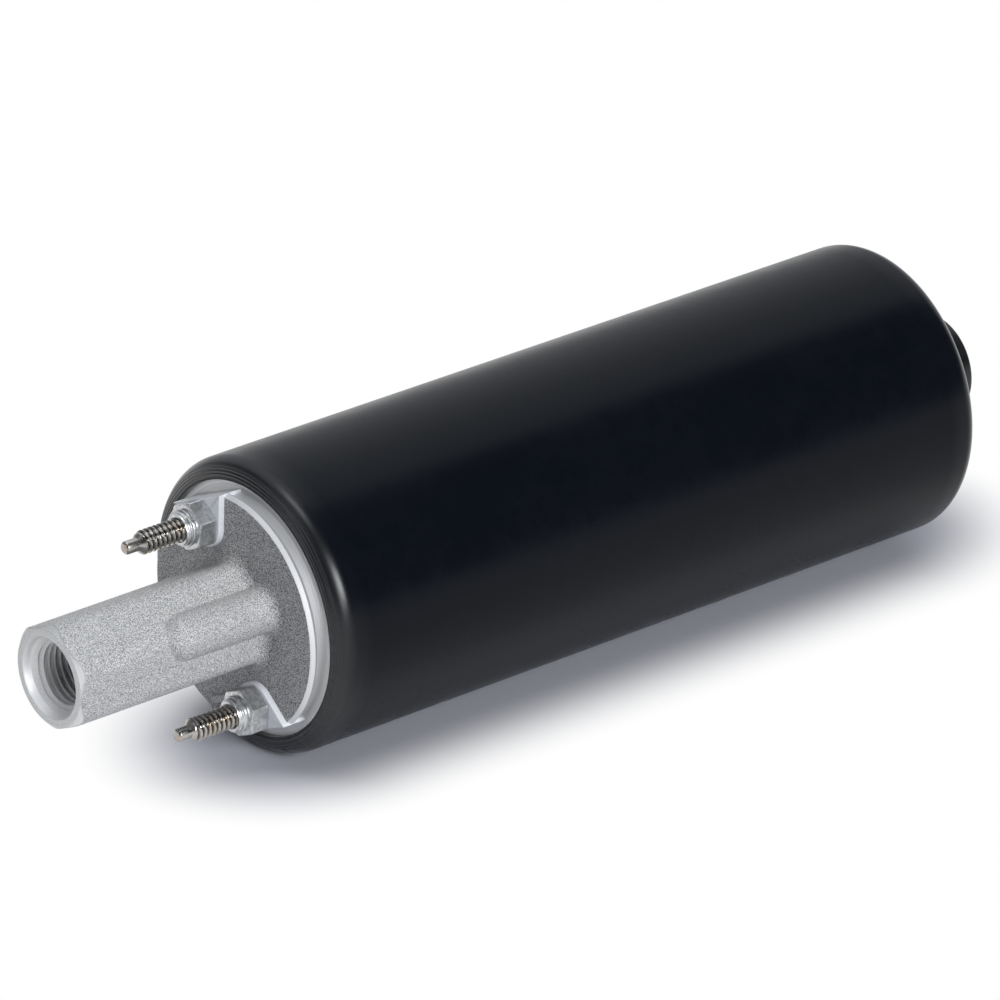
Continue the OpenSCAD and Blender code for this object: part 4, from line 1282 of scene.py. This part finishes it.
def rounded_box(name: str, centre: np.ndarray, half: np.ndarray, soft: float, steps: int
                ) -> bpy.types.Object:
    """Builds a box with round edges from a grid on a sphere.

    A direction d goes to the centre plus sign(d) times (half - soft) plus soft times d.

    Args:
        name: Name of the piece.
        centre: Middle of the box.
        half: Half of each side.
        soft: Radius of the edges.
        steps: Points on a quarter of the sphere.

    Returns:
        The closed box.
    """
    t = np.radians(around(4 * steps) + 45.0 / steps)[None, :]
    p = np.radians(np.linspace(-90.0, 90.0, 2 * steps + 2)[1:-1])[:, None]
    d = np.stack(np.broadcast_arrays(np.cos(p) * np.cos(t), np.cos(p) * np.sin(t), np.sin(p)),
                 axis=-1)
    poles = np.array([[0.0, 0.0, -half[2]], [0.0, 0.0, half[2]]])
    return capped_tube(name, centre + np.sign(d) * (half - soft) + soft * d, centre + poles)


# ---------------------------------------------------------------- the inlet cap


@dataclass
class InletCap(PortedCap):
    """The black inlet cap with its threaded boss."""

    shoulder: float = 1.3
    seal_from: float = 2.2
    seal_to: float = 4.5
    step: float = 1.05
    flange_r: float = 16.4
    flange_l: float = 0.3
    boss_r: float = 7.7
    foot_r: float = 0.8
    port_round: float = 0.5
    port_x: float = INLET_PORT_X
    thread_l: float = 8.0
    screen_r: float = 4.75
    socket_r: float = 10.5
    columns: int = 144

    def outside(self) -> np.ndarray:
        """Profile of the outside, from the back face to the port.

        Returns:
            Rows of (station, radius).
        """
        back, inside = INLET_BACK_X, FAR_X + self.step
        fit, round_r, soft = self.fit_r, self.shoulder, self.back_chamfer
        face, edge = FAR_X - self.flange_l, self.port_round
        return np.concatenate([
            np.array([[back, self.socket_r], [back, fit - soft], [back - soft, fit],
                      [back - self.seal_from, fit], [back - self.seal_from, self.seal_r],
                      [back - self.seal_to, self.seal_r], [back - self.seal_to, fit]]),
            arc(inside + round_r, fit - round_r, round_r, 90.0, 180.0, 6),
            line(inside, 18.0, inside, 16.75),
            arc(FAR_X, self.flange_r, self.flange_l, 90.0, 180.0, 5),
            line(face, 15.0, face, self.boss_r + 0.9, 4),
            arc(face - self.foot_r, self.boss_r + self.foot_r, self.foot_r, 360.0, 270.0, 7)[1:],
            line(FAR_X - 2.0, self.boss_r, self.port_x + 0.6, self.boss_r, 6),
            arc(self.port_x + edge, self.boss_r - edge, edge, 90.0, 180.0, 6)[1:],
        ])

    def build(self) -> None:
        """Builds the cap as one closed grid, with a helical thread in its bore."""
        mouth = self.major_r + 0.1
        rings: list[Ring] = [*map(tuple, self.outside()), (self.port_x, mouth + 0.05)]
        end = self.port_x + self.thread_l
        for x in np.linspace(self.port_x + 0.04, end, 140):
            cone = max(self.minor_r, mouth - (x - self.port_x))
            turns = (x - self.port_x) - self.directions / 360.0
            rings.append((x, np.maximum(cone, self.thread(turns, end - x))))
        back = INLET_BACK_X
        rings += [(end + 0.05, self.bore_r + 0.1), (end + 0.3, self.bore_r),
                  (back - 3.5, self.bore_r), (back - 3.5, self.screen_r),
                  (back - 3.0, self.screen_r), (back - 3.0, self.socket_r)]
        made = sharpen(closed_grid("inlet_casting", ring_points(rings, self.directions)), 35.0)
        dress(made, Finishes.INLET, Body.CASING, "inlet_cap")


# ---------------------------------------------------------------- the terminals


def extrude_outline(name: str, outline: np.ndarray, levels: list[tuple[float, float]],
                    inner: list[tuple[float, float]]) -> bpy.types.Object:
    """Builds a plate with a hole as one closed grid.

    The outline is carried through the given levels of (station, inset): at each level it is
    drawn in by the inset along its own normal. The hole's ring closes the loop.

    Args:
        name: Name of the piece.
        outline: Rows of (u, v) around the plate.
        levels: Rows of (station, inset), from the bottom face's edge to the top face's.
        inner: Rows of (station, radius) that lead from the top face through the hole.

    Returns:
        The closed object, its stations along +X and (u, v) as Y and Z.
    """
    step = np.roll(outline, -1, axis=0) - np.roll(outline, 1, axis=0)
    normal = np.stack([step[:, 1], -step[:, 0]], axis=-1)
    normal /= np.linalg.norm(normal, axis=1, keepdims=True)
    if np.einsum("ij,ij->", normal, outline - outline.mean(axis=0)) < 0.0:
        normal = -normal
    rings = [np.insert(outline - inset * normal, 0, x, axis=1) for x, inset in levels]
    angle = np.degrees(np.arctan2(outline[:, 1], outline[:, 0]))
    rings += [polar(x, r, angle) for x, r in inner]
    return closed_grid(name, np.stack(rings))


def to_terminal(made: bpy.types.Object, side: Side) -> bpy.types.Object:
    """Moves a piece built around the stud's own axis to its terminal, in its mesh.

    The piece's Y axis goes to the direction away from the pump's axis.

    Args:
        made: Piece around the X axis.
        side: The terminal.

    Returns:
        The same piece.
    """
    turn = Matrix.Rotation(np.radians(side.value), 4, "X")
    move = Matrix.Translation(turn @ Vector((0.0, STUD_AT * MM, 0.0)))
    made.data.transform(move @ turn)
    made.data.update()
    return made


@dataclass
class Terminal:
    """One terminal: its insulator, nut, lock washer and stud.

    The fields are lengths and radii of its pieces; tip_x is the station of the stud's end.
    """

    side: Side
    chord: float = 16.6
    width: float = 11.5
    boss_r: float = 3.7
    sleeve_r: float = 2.55
    hole_r: float = 1.8
    soft: float = 0.14
    nut_af: float = 6.35
    nut_hole_r: float = 1.82
    stud_r: float = 1.75
    stud_root: float = 1.3
    pitch: float = 0.8
    root_share: float = 0.1
    point_l: float = 2.9
    cone_l: float = 0.8
    shank_r: float = 1.51
    dog_r: float = 0.963
    head_r: float = 3.15
    head_l: float = 1.2
    tip_x: float = LIP_X + 16.6

    def insulator_outline(self) -> np.ndarray:
        """Outline of the insulator around its stud, from even steps of angle.

        The straight outer edge, two slanted sides that touch the stud's boss, and the boss's
        circle; in each direction the outline's reach is where that ray leaves the shape.

        Returns:
            Rows of (u, v), u pointing away from the pump's axis.
        """
        half, dx = self.width / 2.0, self.chord - STUD_AT
        corner_a = np.arctan2(half, dx)
        touch = corner_a + np.arccos(self.boss_r / np.hypot(dx, half))
        a = np.unique(np.concatenate([
            np.linspace(-np.pi, np.pi, 121)[:-1], [corner_a, -corner_a, touch, -touch],
            corner_a + np.radians([-3.0, 3.0]), -corner_a + np.radians([-3.0, 3.0])]))
        u = np.abs(a)
        straight = dx / np.maximum(np.cos(u), 1e-6)
        slant = self.boss_r / np.maximum(np.cos(touch - u), 1e-6)
        r = np.where(u <= corner_a, straight, np.where(u <= touch, slant, self.boss_r))
        return np.stack([r * np.cos(a), r * np.sin(a)], axis=-1)

    def insulator(self) -> None:
        """Builds the grey plastic insulator."""
        levels = [(CAP_X + 0.1, 0.1), (CAP_X + 0.2, 0.0), (LIP_X + 1.0, 0.0)]
        levels += [(INSULATOR_X - self.soft * (1.0 - np.sin(t)), self.soft * (1.0 - np.cos(t)))
                   for t in np.linspace(0.0, np.pi / 2, 6)]
        hole = [(INSULATOR_X, self.hole_r + 0.3), (INSULATOR_X - 0.1, self.hole_r),
                (CAP_BACK_X, self.hole_r), (CAP_BACK_X, self.sleeve_r),
                (CAP_X + 0.1, self.sleeve_r)]
        made = extrude_outline(f"insulator_plate_{self.side.label}", self.insulator_outline(),
                               levels, hole)
        sharpen(to_terminal(made, self.side), 32.0)
        dress(made, Finishes.INSULATOR, Body.CASING, f"insulator_{self.side.label}")

    def nut(self) -> None:
        """Builds the hexagonal nut with its chamfered corners.

        In each direction the flat gives half width over the cosine of the angle from its
        middle. The chamfer on each face is a shallow cone that trims only the corners.
        """
        a = around(144)
        half = self.nut_af / 2.0
        corner = half / np.cos(np.radians(30.0))
        flat = np.minimum(half / np.cos(np.radians((a + 30.0) % 60.0 - 30.0)), corner - 0.08)
        rise, spread = 0.6, 1.75
        chamfer = [(d * rise, np.minimum(flat, half * 0.97 + d * spread))
                   for d in np.linspace(0.0, 0.5, 7)]
        bottom, top, hole = INSULATOR_X, NUT_X, self.nut_hole_r
        rings: list[Ring] = [(bottom + d, r) for d, r in chamfer]
        rings += [((bottom + top) / 2.0, flat), *((top - d, r) for d, r in reversed(chamfer)),
                  (top, 2.2), (top - 0.3, hole), (bottom + 0.3, hole), (bottom, 2.15)]
        made = closed_grid(f"terminal_nut_{self.side.label}", ring_points(rings, a))
        sharpen(to_terminal(made, self.side), 24.0)
        dress(made, Finishes.NUT, Body.CASING, f"stud_nut_{self.side.label}")

    def washer(self) -> None:
        """Builds the stepped lock washer: two rings and a collar, each with rounded edges."""
        profile = np.concatenate([
            np.array([[NUT_X, self.nut_hole_r], [NUT_X, 2.55]]),
            arc(NUT_X + 0.5, 2.55, 0.15, 90.0, 0.0, 5),
            arc(NUT_X + 0.78, 2.43, 0.08, 180.0, 270.0, 4) + np.array([0.0, 0.06]),
            arc(NUT_X + 1.1, 2.3, 0.18, 90.0, 0.0, 6),
            np.array([[NUT_X + 1.5, 2.2], [NUT_X + 1.5, self.nut_hole_r]]),
        ])
        made = lathe(f"lock_washer_rings_{self.side.label}", profile, 96)
        sharpen(to_terminal(made, self.side), 35.0)
        dress(made, Finishes.NUT, Body.CASING, f"lock_washer_{self.side.label}")

    def stud(self) -> None:
        """Builds the stud with a helical thread and a plain dog point.

        The radius is the root plus the thread's wave, read at the station in turns less the
        direction's share of a turn, so the ridge climbs one pitch in each turn. Both ends run
        in to the axis as small rings closed by a fan.
        """
        a = around(96)
        thread_x, tip = INSULATOR_X - 1.0, self.tip_x
        cone_x = tip - self.point_l
        back = CAP_BACK_X - 2.0
        shelf = back + self.head_l
        # The third value of each ring is painted shade, 1 in the thread's root and 0 on its crest.
        rings: list[Ring] = [(x, r, 0.0) for x, r in (
            (back, 0.02), (back, self.head_r - 0.2), (back + 0.2, self.head_r),
            (shelf, self.head_r), (shelf, self.shank_r), (thread_x - 0.6, self.shank_r))]
        crest = self.stud_r - 0.02
        for x in np.linspace(thread_x - 0.5, cone_x + 0.05, 190):
            fade = float(np.clip((x - thread_x + 0.5) / 0.6, 0.0, 1.0))
            wave = thread_wave((x - thread_x) / self.pitch - a / 360.0, self.root_share)
            rings.append((x, self.stud_root + (crest - self.stud_root) * fade * wave, 1.0 - wave))
        last = rings[-1][1]
        for t in np.linspace(0.0, 1.0, 8)[1:]:
            cone = crest + (self.dog_r - crest) * t
            rings.append((cone_x + self.cone_l * t, np.minimum(last + (cone - last) * t, cone),
                          0.0))
        for left, inset in ((1.6, 0.0), (0.3, 0.0), (0.24, 0.02), (0.05, 0.2), (0.0, 0.27)):
            rings.append((tip - left, self.dog_r - inset, 0.0))
        rings.append((tip, 0.02, 0.0))
        made = capped_tube(f"terminal_stud_{self.side.label}", ring_points(rings, a),
                           np.array([[back, 0.0, 0.0], [tip, 0.0, 0.0]]))
        root = np.stack([ring[2] * np.ones_like(a) for ring in rings])
        mark_points(made, "root", np.append(root, [0.0, 0.0]))
        sharpen(to_terminal(made, self.side), 38.0)
        dress(made, Finishes.STUD, Body.CASING, f"stud_{self.side.label}")

    def build(self) -> None:
        """Builds every piece of the terminal."""
        self.insulator()
        self.nut()
        self.washer()
        self.stud()


# ---------------------------------------------------------------- springs and leads

AHEAD = np.array([1.0, 0.0, 0.0])


def spot(x: float, r: float = 0.0, degrees: float = 0.0) -> np.ndarray:
    """Point at a station, a radius and a direction around the pump's axis."""
    return x * AHEAD + r * outward(degrees)


def outward(degrees: float) -> np.ndarray:
    """Unit vector away from the pump's axis in a direction."""
    a = np.radians(degrees)
    return np.array([0.0, np.cos(a), np.sin(a)])


@dataclass
class Coil:
    """A wire coil along a line, with its end turns closed flat or as open as the rest."""

    name: str
    start: np.ndarray
    heading: np.ndarray
    length: float
    radius: float
    wire_r: float
    turns: float
    steps: int = 32
    sides: int = 10
    flat_ends: bool = True

    def path(self) -> np.ndarray:
        """Centre line of the wire.

        The angle runs evenly. With flat ends, the rise is slow over the first and last three
        quarters of a turn and even between them. It spans the length less the wire's thickness.

        Returns:
            Points in millimetres.
        """
        t = np.linspace(0.0, self.turns, int(self.steps * self.turns) + 1)
        rise = t / self.turns
        if self.flat_ends:
            closed, slow = 0.75, 0.34
            rate = np.where((t < closed) | (t > self.turns - closed), slow, 1.0)
            rise = np.concatenate([[0.0], np.cumsum((rate[1:] + rate[:-1]) / 2.0)])
            rise = rise / rise[-1]
        z = self.wire_r + rise * (self.length - 2.0 * self.wire_r)
        a = 2.0 * np.pi * t
        along = self.heading / np.linalg.norm(self.heading)
        guide = np.array([0.0, 0.0, 1.0]) if abs(along[2]) < 0.9 else AHEAD
        u = guide - (guide @ along) * along
        u /= np.linalg.norm(u)
        v = np.cross(along, u)
        return (self.start + z[:, None] * along + self.radius * (np.cos(a)[:, None] * u
                                                                + np.sin(a)[:, None] * v))

    def build(self) -> bpy.types.Object:
        """Builds the coil's wire."""
        return wire(self.name, self.path(), self.wire_r, self.sides)


@dataclass
class Valves:
    """The springs of the check valve and the relief valve."""

    check_x: float = 62.25
    check_l: float = 5.9
    check_lift: float = 2.0
    relief_x: float = 54.24
    relief_l: float = 10.6
    relief_lift: float = 1.0

    def build(self) -> None:
        """Builds both springs, each with a mesh of its own."""
        check = Coil("check_spring_wire", spot(self.check_x), AHEAD, self.check_l, 1.7, 0.22,
                     5.0).build()
        dress(check, Finishes.SPRING, Body.CASING, "check_spring")
        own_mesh(check)
        at = spot(self.relief_x, 7.0, RIDGE_ANGLE)
        relief = Coil("relief_spring_wire", at, AHEAD, self.relief_l, 1.11, 0.2, 8.0).build()
        dress(relief, Finishes.SPRING, Body.CASING, "relief_spring")
        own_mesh(relief)


@dataclass
class BrushGear:
    """The brushes' springs and shunts, and the chokes' coils, around the commutator."""

    brush_x: float = 28.4
    spring_from: float = 15.55
    spring_l: float = 3.15
    slide: float = 1.2
    shunt_from: float = 15.5
    shunt_r: float = 19.7
    choke_x0: float = 39.9
    choke_l: float = 7.0
    choke_at: float = 14.0
    choke_r: float = 1.9
    wire_r: float = 0.35

    def side(self, side: Side, body: Body) -> None:
        """Builds one brush's spring and shunt, and its choke's coil.

        Args:
            side: The terminal that this brush feeds.
            body: The brush's body; not used.
        """
        brush = RIDGE_ANGLE + side.turn
        choke = CHOKE_ANGLE + side.turn
        out = outward(brush)
        start = spot(self.brush_x) + self.spring_from * out
        spring = Coil(f"brush_spring_wire_{side.label}", start, out, self.spring_l, 1.8, 0.22,
                      4.0).build()
        dress(spring, Finishes.SPRING, Body.CASING, f"brush_spring_{side.label}")
        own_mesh(spring)
        self.shunt(side, brush, choke)
        core = spot(self.choke_x0 + 0.4, self.choke_at, choke)
        coil = Coil(f"choke_winding_{side.label}", core, AHEAD, self.choke_l - 0.8, self.choke_r,
                    self.wire_r, 6.0, flat_ends=False).build()
        dress(coil, Finishes.COPPER, Body.CASING, f"choke_coil_{side.label}")

    def shunt(self, side: Side, brush: float, choke: float) -> None:
        """Builds the flexible lead from a brush to its choke.

        Args:
            side: The terminal that the brush feeds.
            brush: Direction of the brush in degrees.
            choke: Direction of its choke in degrees.
        """
        corners = np.array([
            spot(self.brush_x, self.shunt_from, brush),
            spot(self.brush_x, self.shunt_r, brush),
            spot(self.choke_x0 - 0.6, self.shunt_r, brush),
            spot(self.choke_x0 + 0.6, self.choke_at + self.choke_r, choke),
        ])
        made = wire(f"brush_shunt_wire_{side.label}", smooth_path(corners, 12, 1.4), self.wire_r,
                    10)
        paint(made, Finishes.COPPER)
        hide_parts(f"brush_shunt_{side.label}")
        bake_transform(made)
        LOG.info("built %s", made.name)

    def build(self) -> None:
        """Builds both sides."""
        self.side(Side.POSITIVE, Body.POSITIVE_BRUSH)
        self.side(Side.NEGATIVE, Body.NEGATIVE_BRUSH)


# ---------------------------------------------------------------- CAD nodes that stay


@dataclass
class Internals:
    """The CAD nodes that keep their own shape, and each one's finish."""

    by_finish: tuple[tuple[Finish, str], ...] = (
        (Finishes.RUBBER, "outlet_o_ring inlet_o_ring stud_seal_positive stud_seal_negative "
                          "check_seal"),
        (Finishes.BRASS, "check_seat check_cage check_poppet relief_plug brush_guide_positive "
                         "brush_guide_negative"),
        (Finishes.HOLDER, "brush_holder"),
        (Finishes.BRONZE, "outlet_bush drive_bush"),
        (Finishes.CARBON, "brush_positive brush_negative"),
        (Finishes.FERRITE, "choke_core_positive choke_core_negative magnet_upper magnet_lower"),
        (Finishes.COPPER, "choke_leads armature_windings commutator"),
        (Finishes.SPRING, "magnet_clips"),
        (Finishes.FIBRE, "end_insulators"),
        (Finishes.ALLOY, "bearing_plate inlet_plate"),
        (Finishes.NUT, "stack_screws"),
        (Finishes.SINTERED, "inner_rotor outer_rotor"),
        (Finishes.SCREEN, "inlet_screen"),
    )

    def build(self) -> None:
        """Puts each finish on its nodes, and ground steel on the nodes that aren't listed."""
        finishes = {name: finish for finish, names in self.by_finish for name in names.split()}
        for name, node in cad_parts.items():
            finish = finishes.get(name, Finishes.STEEL)
            for slot in node.material_slots:
                slot.material = finish.material()
            LOG.info("dressed %s with %s", name, finish.name)


# ---------------------------------------------------------------- studio


@dataclass
class Studio:
    """Floor, sky, lamps and camera.

    The camera's distance and the station that it looks at are in millimetres.
    """

    sensor: float = 36.0
    picture_px: float = 1000.0
    focal_px: float = 9528.0
    distance: float = 1343.2
    elevation: float = 25.2
    azimuth: float = 50.23
    origin_x: float = 11.61
    origin_px: tuple[float, float] = (7.2, 16.0)
    # Each lamp's name, place in metres, width, height and watts.
    lamps: tuple[tuple[str, tuple[float, float, float], float, float, float], ...] = (
        ("overhead_softbox", (0.26, -0.24, 1.0), 1.2, 1.1, 1.5),
        ("front_softbox", (1.1, -0.15, 0.45), 0.5, 0.5, 1.2),
        ("side_softbox", (0.2, 1.18, 0.56), 0.5, 0.4, 13.6),
        ("side_strip", (0.5, 1.0, 0.45), 0.2, 0.6, 2.7),
        ("top_strip", (0.32, 0.02, 0.95), 0.45, 0.3, 1.8),
    )
    lamp_colour: Colour = (0.96, 0.975, 1.0)
    # Grey-blue paper, seen only near the pump's axis, where it paints the shadow band.
    paper: Colour = (0.455, 0.467, 0.52)
    paper_second: Colour = (0.47, 0.482, 0.535)
    floor_half: float = 12000.0
    sky_colour: Colour = (0.92, 0.96, 1.0)
    # Strengths of the sky, and the spans of a direction's X, Y or Z over which each one fades.
    sweep_low: float = 0.74
    sweep_high: float = 1.0
    sweep_span: tuple[float, float] = (0.1, 0.75)
    behind_span: tuple[float, float] = (0.0, 0.10)
    dark_side: float = 0.03
    ahead: float = 0.12
    ahead_span: tuple[float, float] = (-0.3, 0.6)
    band_span: tuple[float, float] = (0.02, 0.05)
    # Distances on the floor in metres: where the white starts, where it is full, and half the
    # length of the axis that they are counted from. Nearer than these the white is left out, which
    # paints a shadow band around the pump over its real shadow.
    near_floor: float = 0.0105
    far_floor: float = 0.0295
    half_length: float = 0.05
    end_stretch: float = 0.9

    def floor(self) -> None:
        """Builds the floor under the can: grey-blue paper near its axis, white further away.

        The white is added only for rays from the camera or a reflection, by the distance from the
        middle part of the axis. Past that part the distance counts end_stretch times. The band
        near the axis, where the white is left out, is a painted shadow laid over the real shadow:
        the paper is grey there even where no lamp is blocked.
        """
        size = self.floor_half
        corners = np.array([[x, y, -CAN_R] for x, y in ((-size, -size), (size, -size),
                                                        (size, size), (-size, size))])
        made = mesh_from_arrays("studio_floor", corners, np.array([[0, 1, 2, 3]]))
        paper = bpy.data.materials.new("studio_paper")
        n = Nodes.emptied(paper)
        shader = n.add("BsdfPrincipled")
        shader.inputs["Roughness"].default_value = 0.9
        shader.inputs["Specular IOR Level"].default_value = 0.0
        grain = n.noise(n.place(), 12.0, 2.0)
        n.link(n.blend(grain, self.paper, self.paper_second), shader.inputs["Base Color"])
        x, y, _ = n.split(n.place())
        past = n.math("SUBTRACT", n.math("ABSOLUTE", x), self.half_length)
        past = n.product(n.math("MAXIMUM", past, 0.0), self.end_stretch)
        away = n.math("SQRT", n.total(n.product(past, past), n.product(y, y)))
        # Painted shadow: the white fades out towards the axis.
        far = n.ramp(away, self.near_floor, self.far_floor, 0.0, 1.0)
        path = n.add("LightPath")
        seen = n.total(path.outputs["Is Camera Ray"], path.outputs["Is Glossy Ray"])
        seen = n.math("ADD", seen, path.outputs["Is Transmission Ray"], clamp=True)
        white = n.add("Emission")
        mix = n.add("MixShader")
        n.link(n.product(far, seen), mix.inputs["Fac"])
        n.link(shader.outputs["BSDF"], mix.inputs[1])
        n.link(white.outputs["Emission"], mix.inputs[2])
        out = n.add("OutputMaterial")
        n.link(mix.outputs[0], out.inputs["Surface"])
        made.data.materials.append(paper)

    def sky(self) -> None:
        """Sets the studio's walls: a pale sweep behind the can, and dark in front of it.

        The strength is a function of the direction alone: a smooth step across the plane of
        the pump's axis, with the sweep growing a little upwards, and a low white band. All of
        it fades towards the outlet's end.
        """
        world = bpy.data.worlds.new("studio_world")
        n = Nodes.emptied(world)
        x, y, z = n.split(n.add("TexCoord").outputs["Generated"])
        sweep = n.ramp(z, *self.sweep_span, self.sweep_low, self.sweep_high)
        behind = n.ramp(y, *self.behind_span, 1.0, 0.0)
        walls = n.math("MAXIMUM", n.product(sweep, behind), self.dark_side)
        ahead = n.ramp(x, *self.ahead_span, 1.0, self.ahead)
        low = n.ramp(z, *self.band_span, 1.0, 0.0)
        glow = n.add("Background")
        n.feed(self.sky_colour, glow.inputs["Color"])
        n.link(n.product(n.math("MAXIMUM", walls, low), ahead), glow.inputs["Strength"])
        out = n.add("OutputWorld")
        n.link(glow.outputs[0], out.inputs["Surface"])
        bpy.context.scene.world = world

    def lights(self) -> None:
        """Places the softboxes, each facing the middle of the can."""
        for name, place, width, height, watts in self.lamps:
            lamp = bpy.data.lights.new(name, "AREA")
            lamp.shape = "RECTANGLE"
            lamp.size, lamp.size_y = width, height
            lamp.energy = watts
            lamp.color = self.lamp_colour
            made = bpy.data.objects.new(name, lamp)
            made.location = place
            made.rotation_mode = "QUATERNION"
            made.rotation_quaternion = (-Vector(place)).to_track_quat("-Z", "Y")
            bpy.context.scene.collection.objects.link(made)

    def camera(self) -> None:
        """Places the camera at the photograph's viewing angle."""
        el, az = np.radians(self.elevation), np.radians(self.azimuth)
        back = np.array([np.cos(el) * np.cos(az), np.cos(el) * np.sin(az), np.sin(el)])
        centre = np.array([self.origin_x, 0.0, 0.0])
        eye = centre + self.distance * back
        right = np.cross(-back, [0.0, 0.0, 1.0])
        right /= np.linalg.norm(right)
        up = np.cross(right, -back)
        per_mm = self.focal_px / self.distance
        aim = centre - right * self.origin_px[0] / per_mm + up * self.origin_px[1] / per_mm
        data = bpy.data.cameras.new("photo_camera")
        data.sensor_width = self.sensor
        data.lens = self.sensor * self.focal_px / self.picture_px
        data.clip_start, data.clip_end = 0.05, 50.0
        data.dof.use_dof = False
        made = bpy.data.objects.new("photo_camera", data)
        made.location = eye * MM
        made.rotation_mode = "QUATERNION"
        made.rotation_quaternion = Vector(aim - eye).to_track_quat("-Z", "Y")
        bpy.context.scene.collection.objects.link(made)
        bpy.context.scene.camera = made

    def build(self) -> None:
        """Builds the studio."""
        self.floor()
        self.sky()
        self.lights()
        self.camera()
        bpy.context.scene.view_settings.view_transform = "Standard"


def main() -> None:
    """Builds every piece of the pump, in order from the outside in."""
    logging.basicConfig(level=logging.INFO, format="%(name)s: %(message)s")
    Can().build()
    cap = OutletCap()
    cap.build()
    cap.polarity_bar()
    InletCap().build()
    for side in Side:
        Terminal(side).build()
    Valves().build()
    BrushGear().build()
    Internals().build()
    Studio().build()


if __name__ == "__main__":
    main()
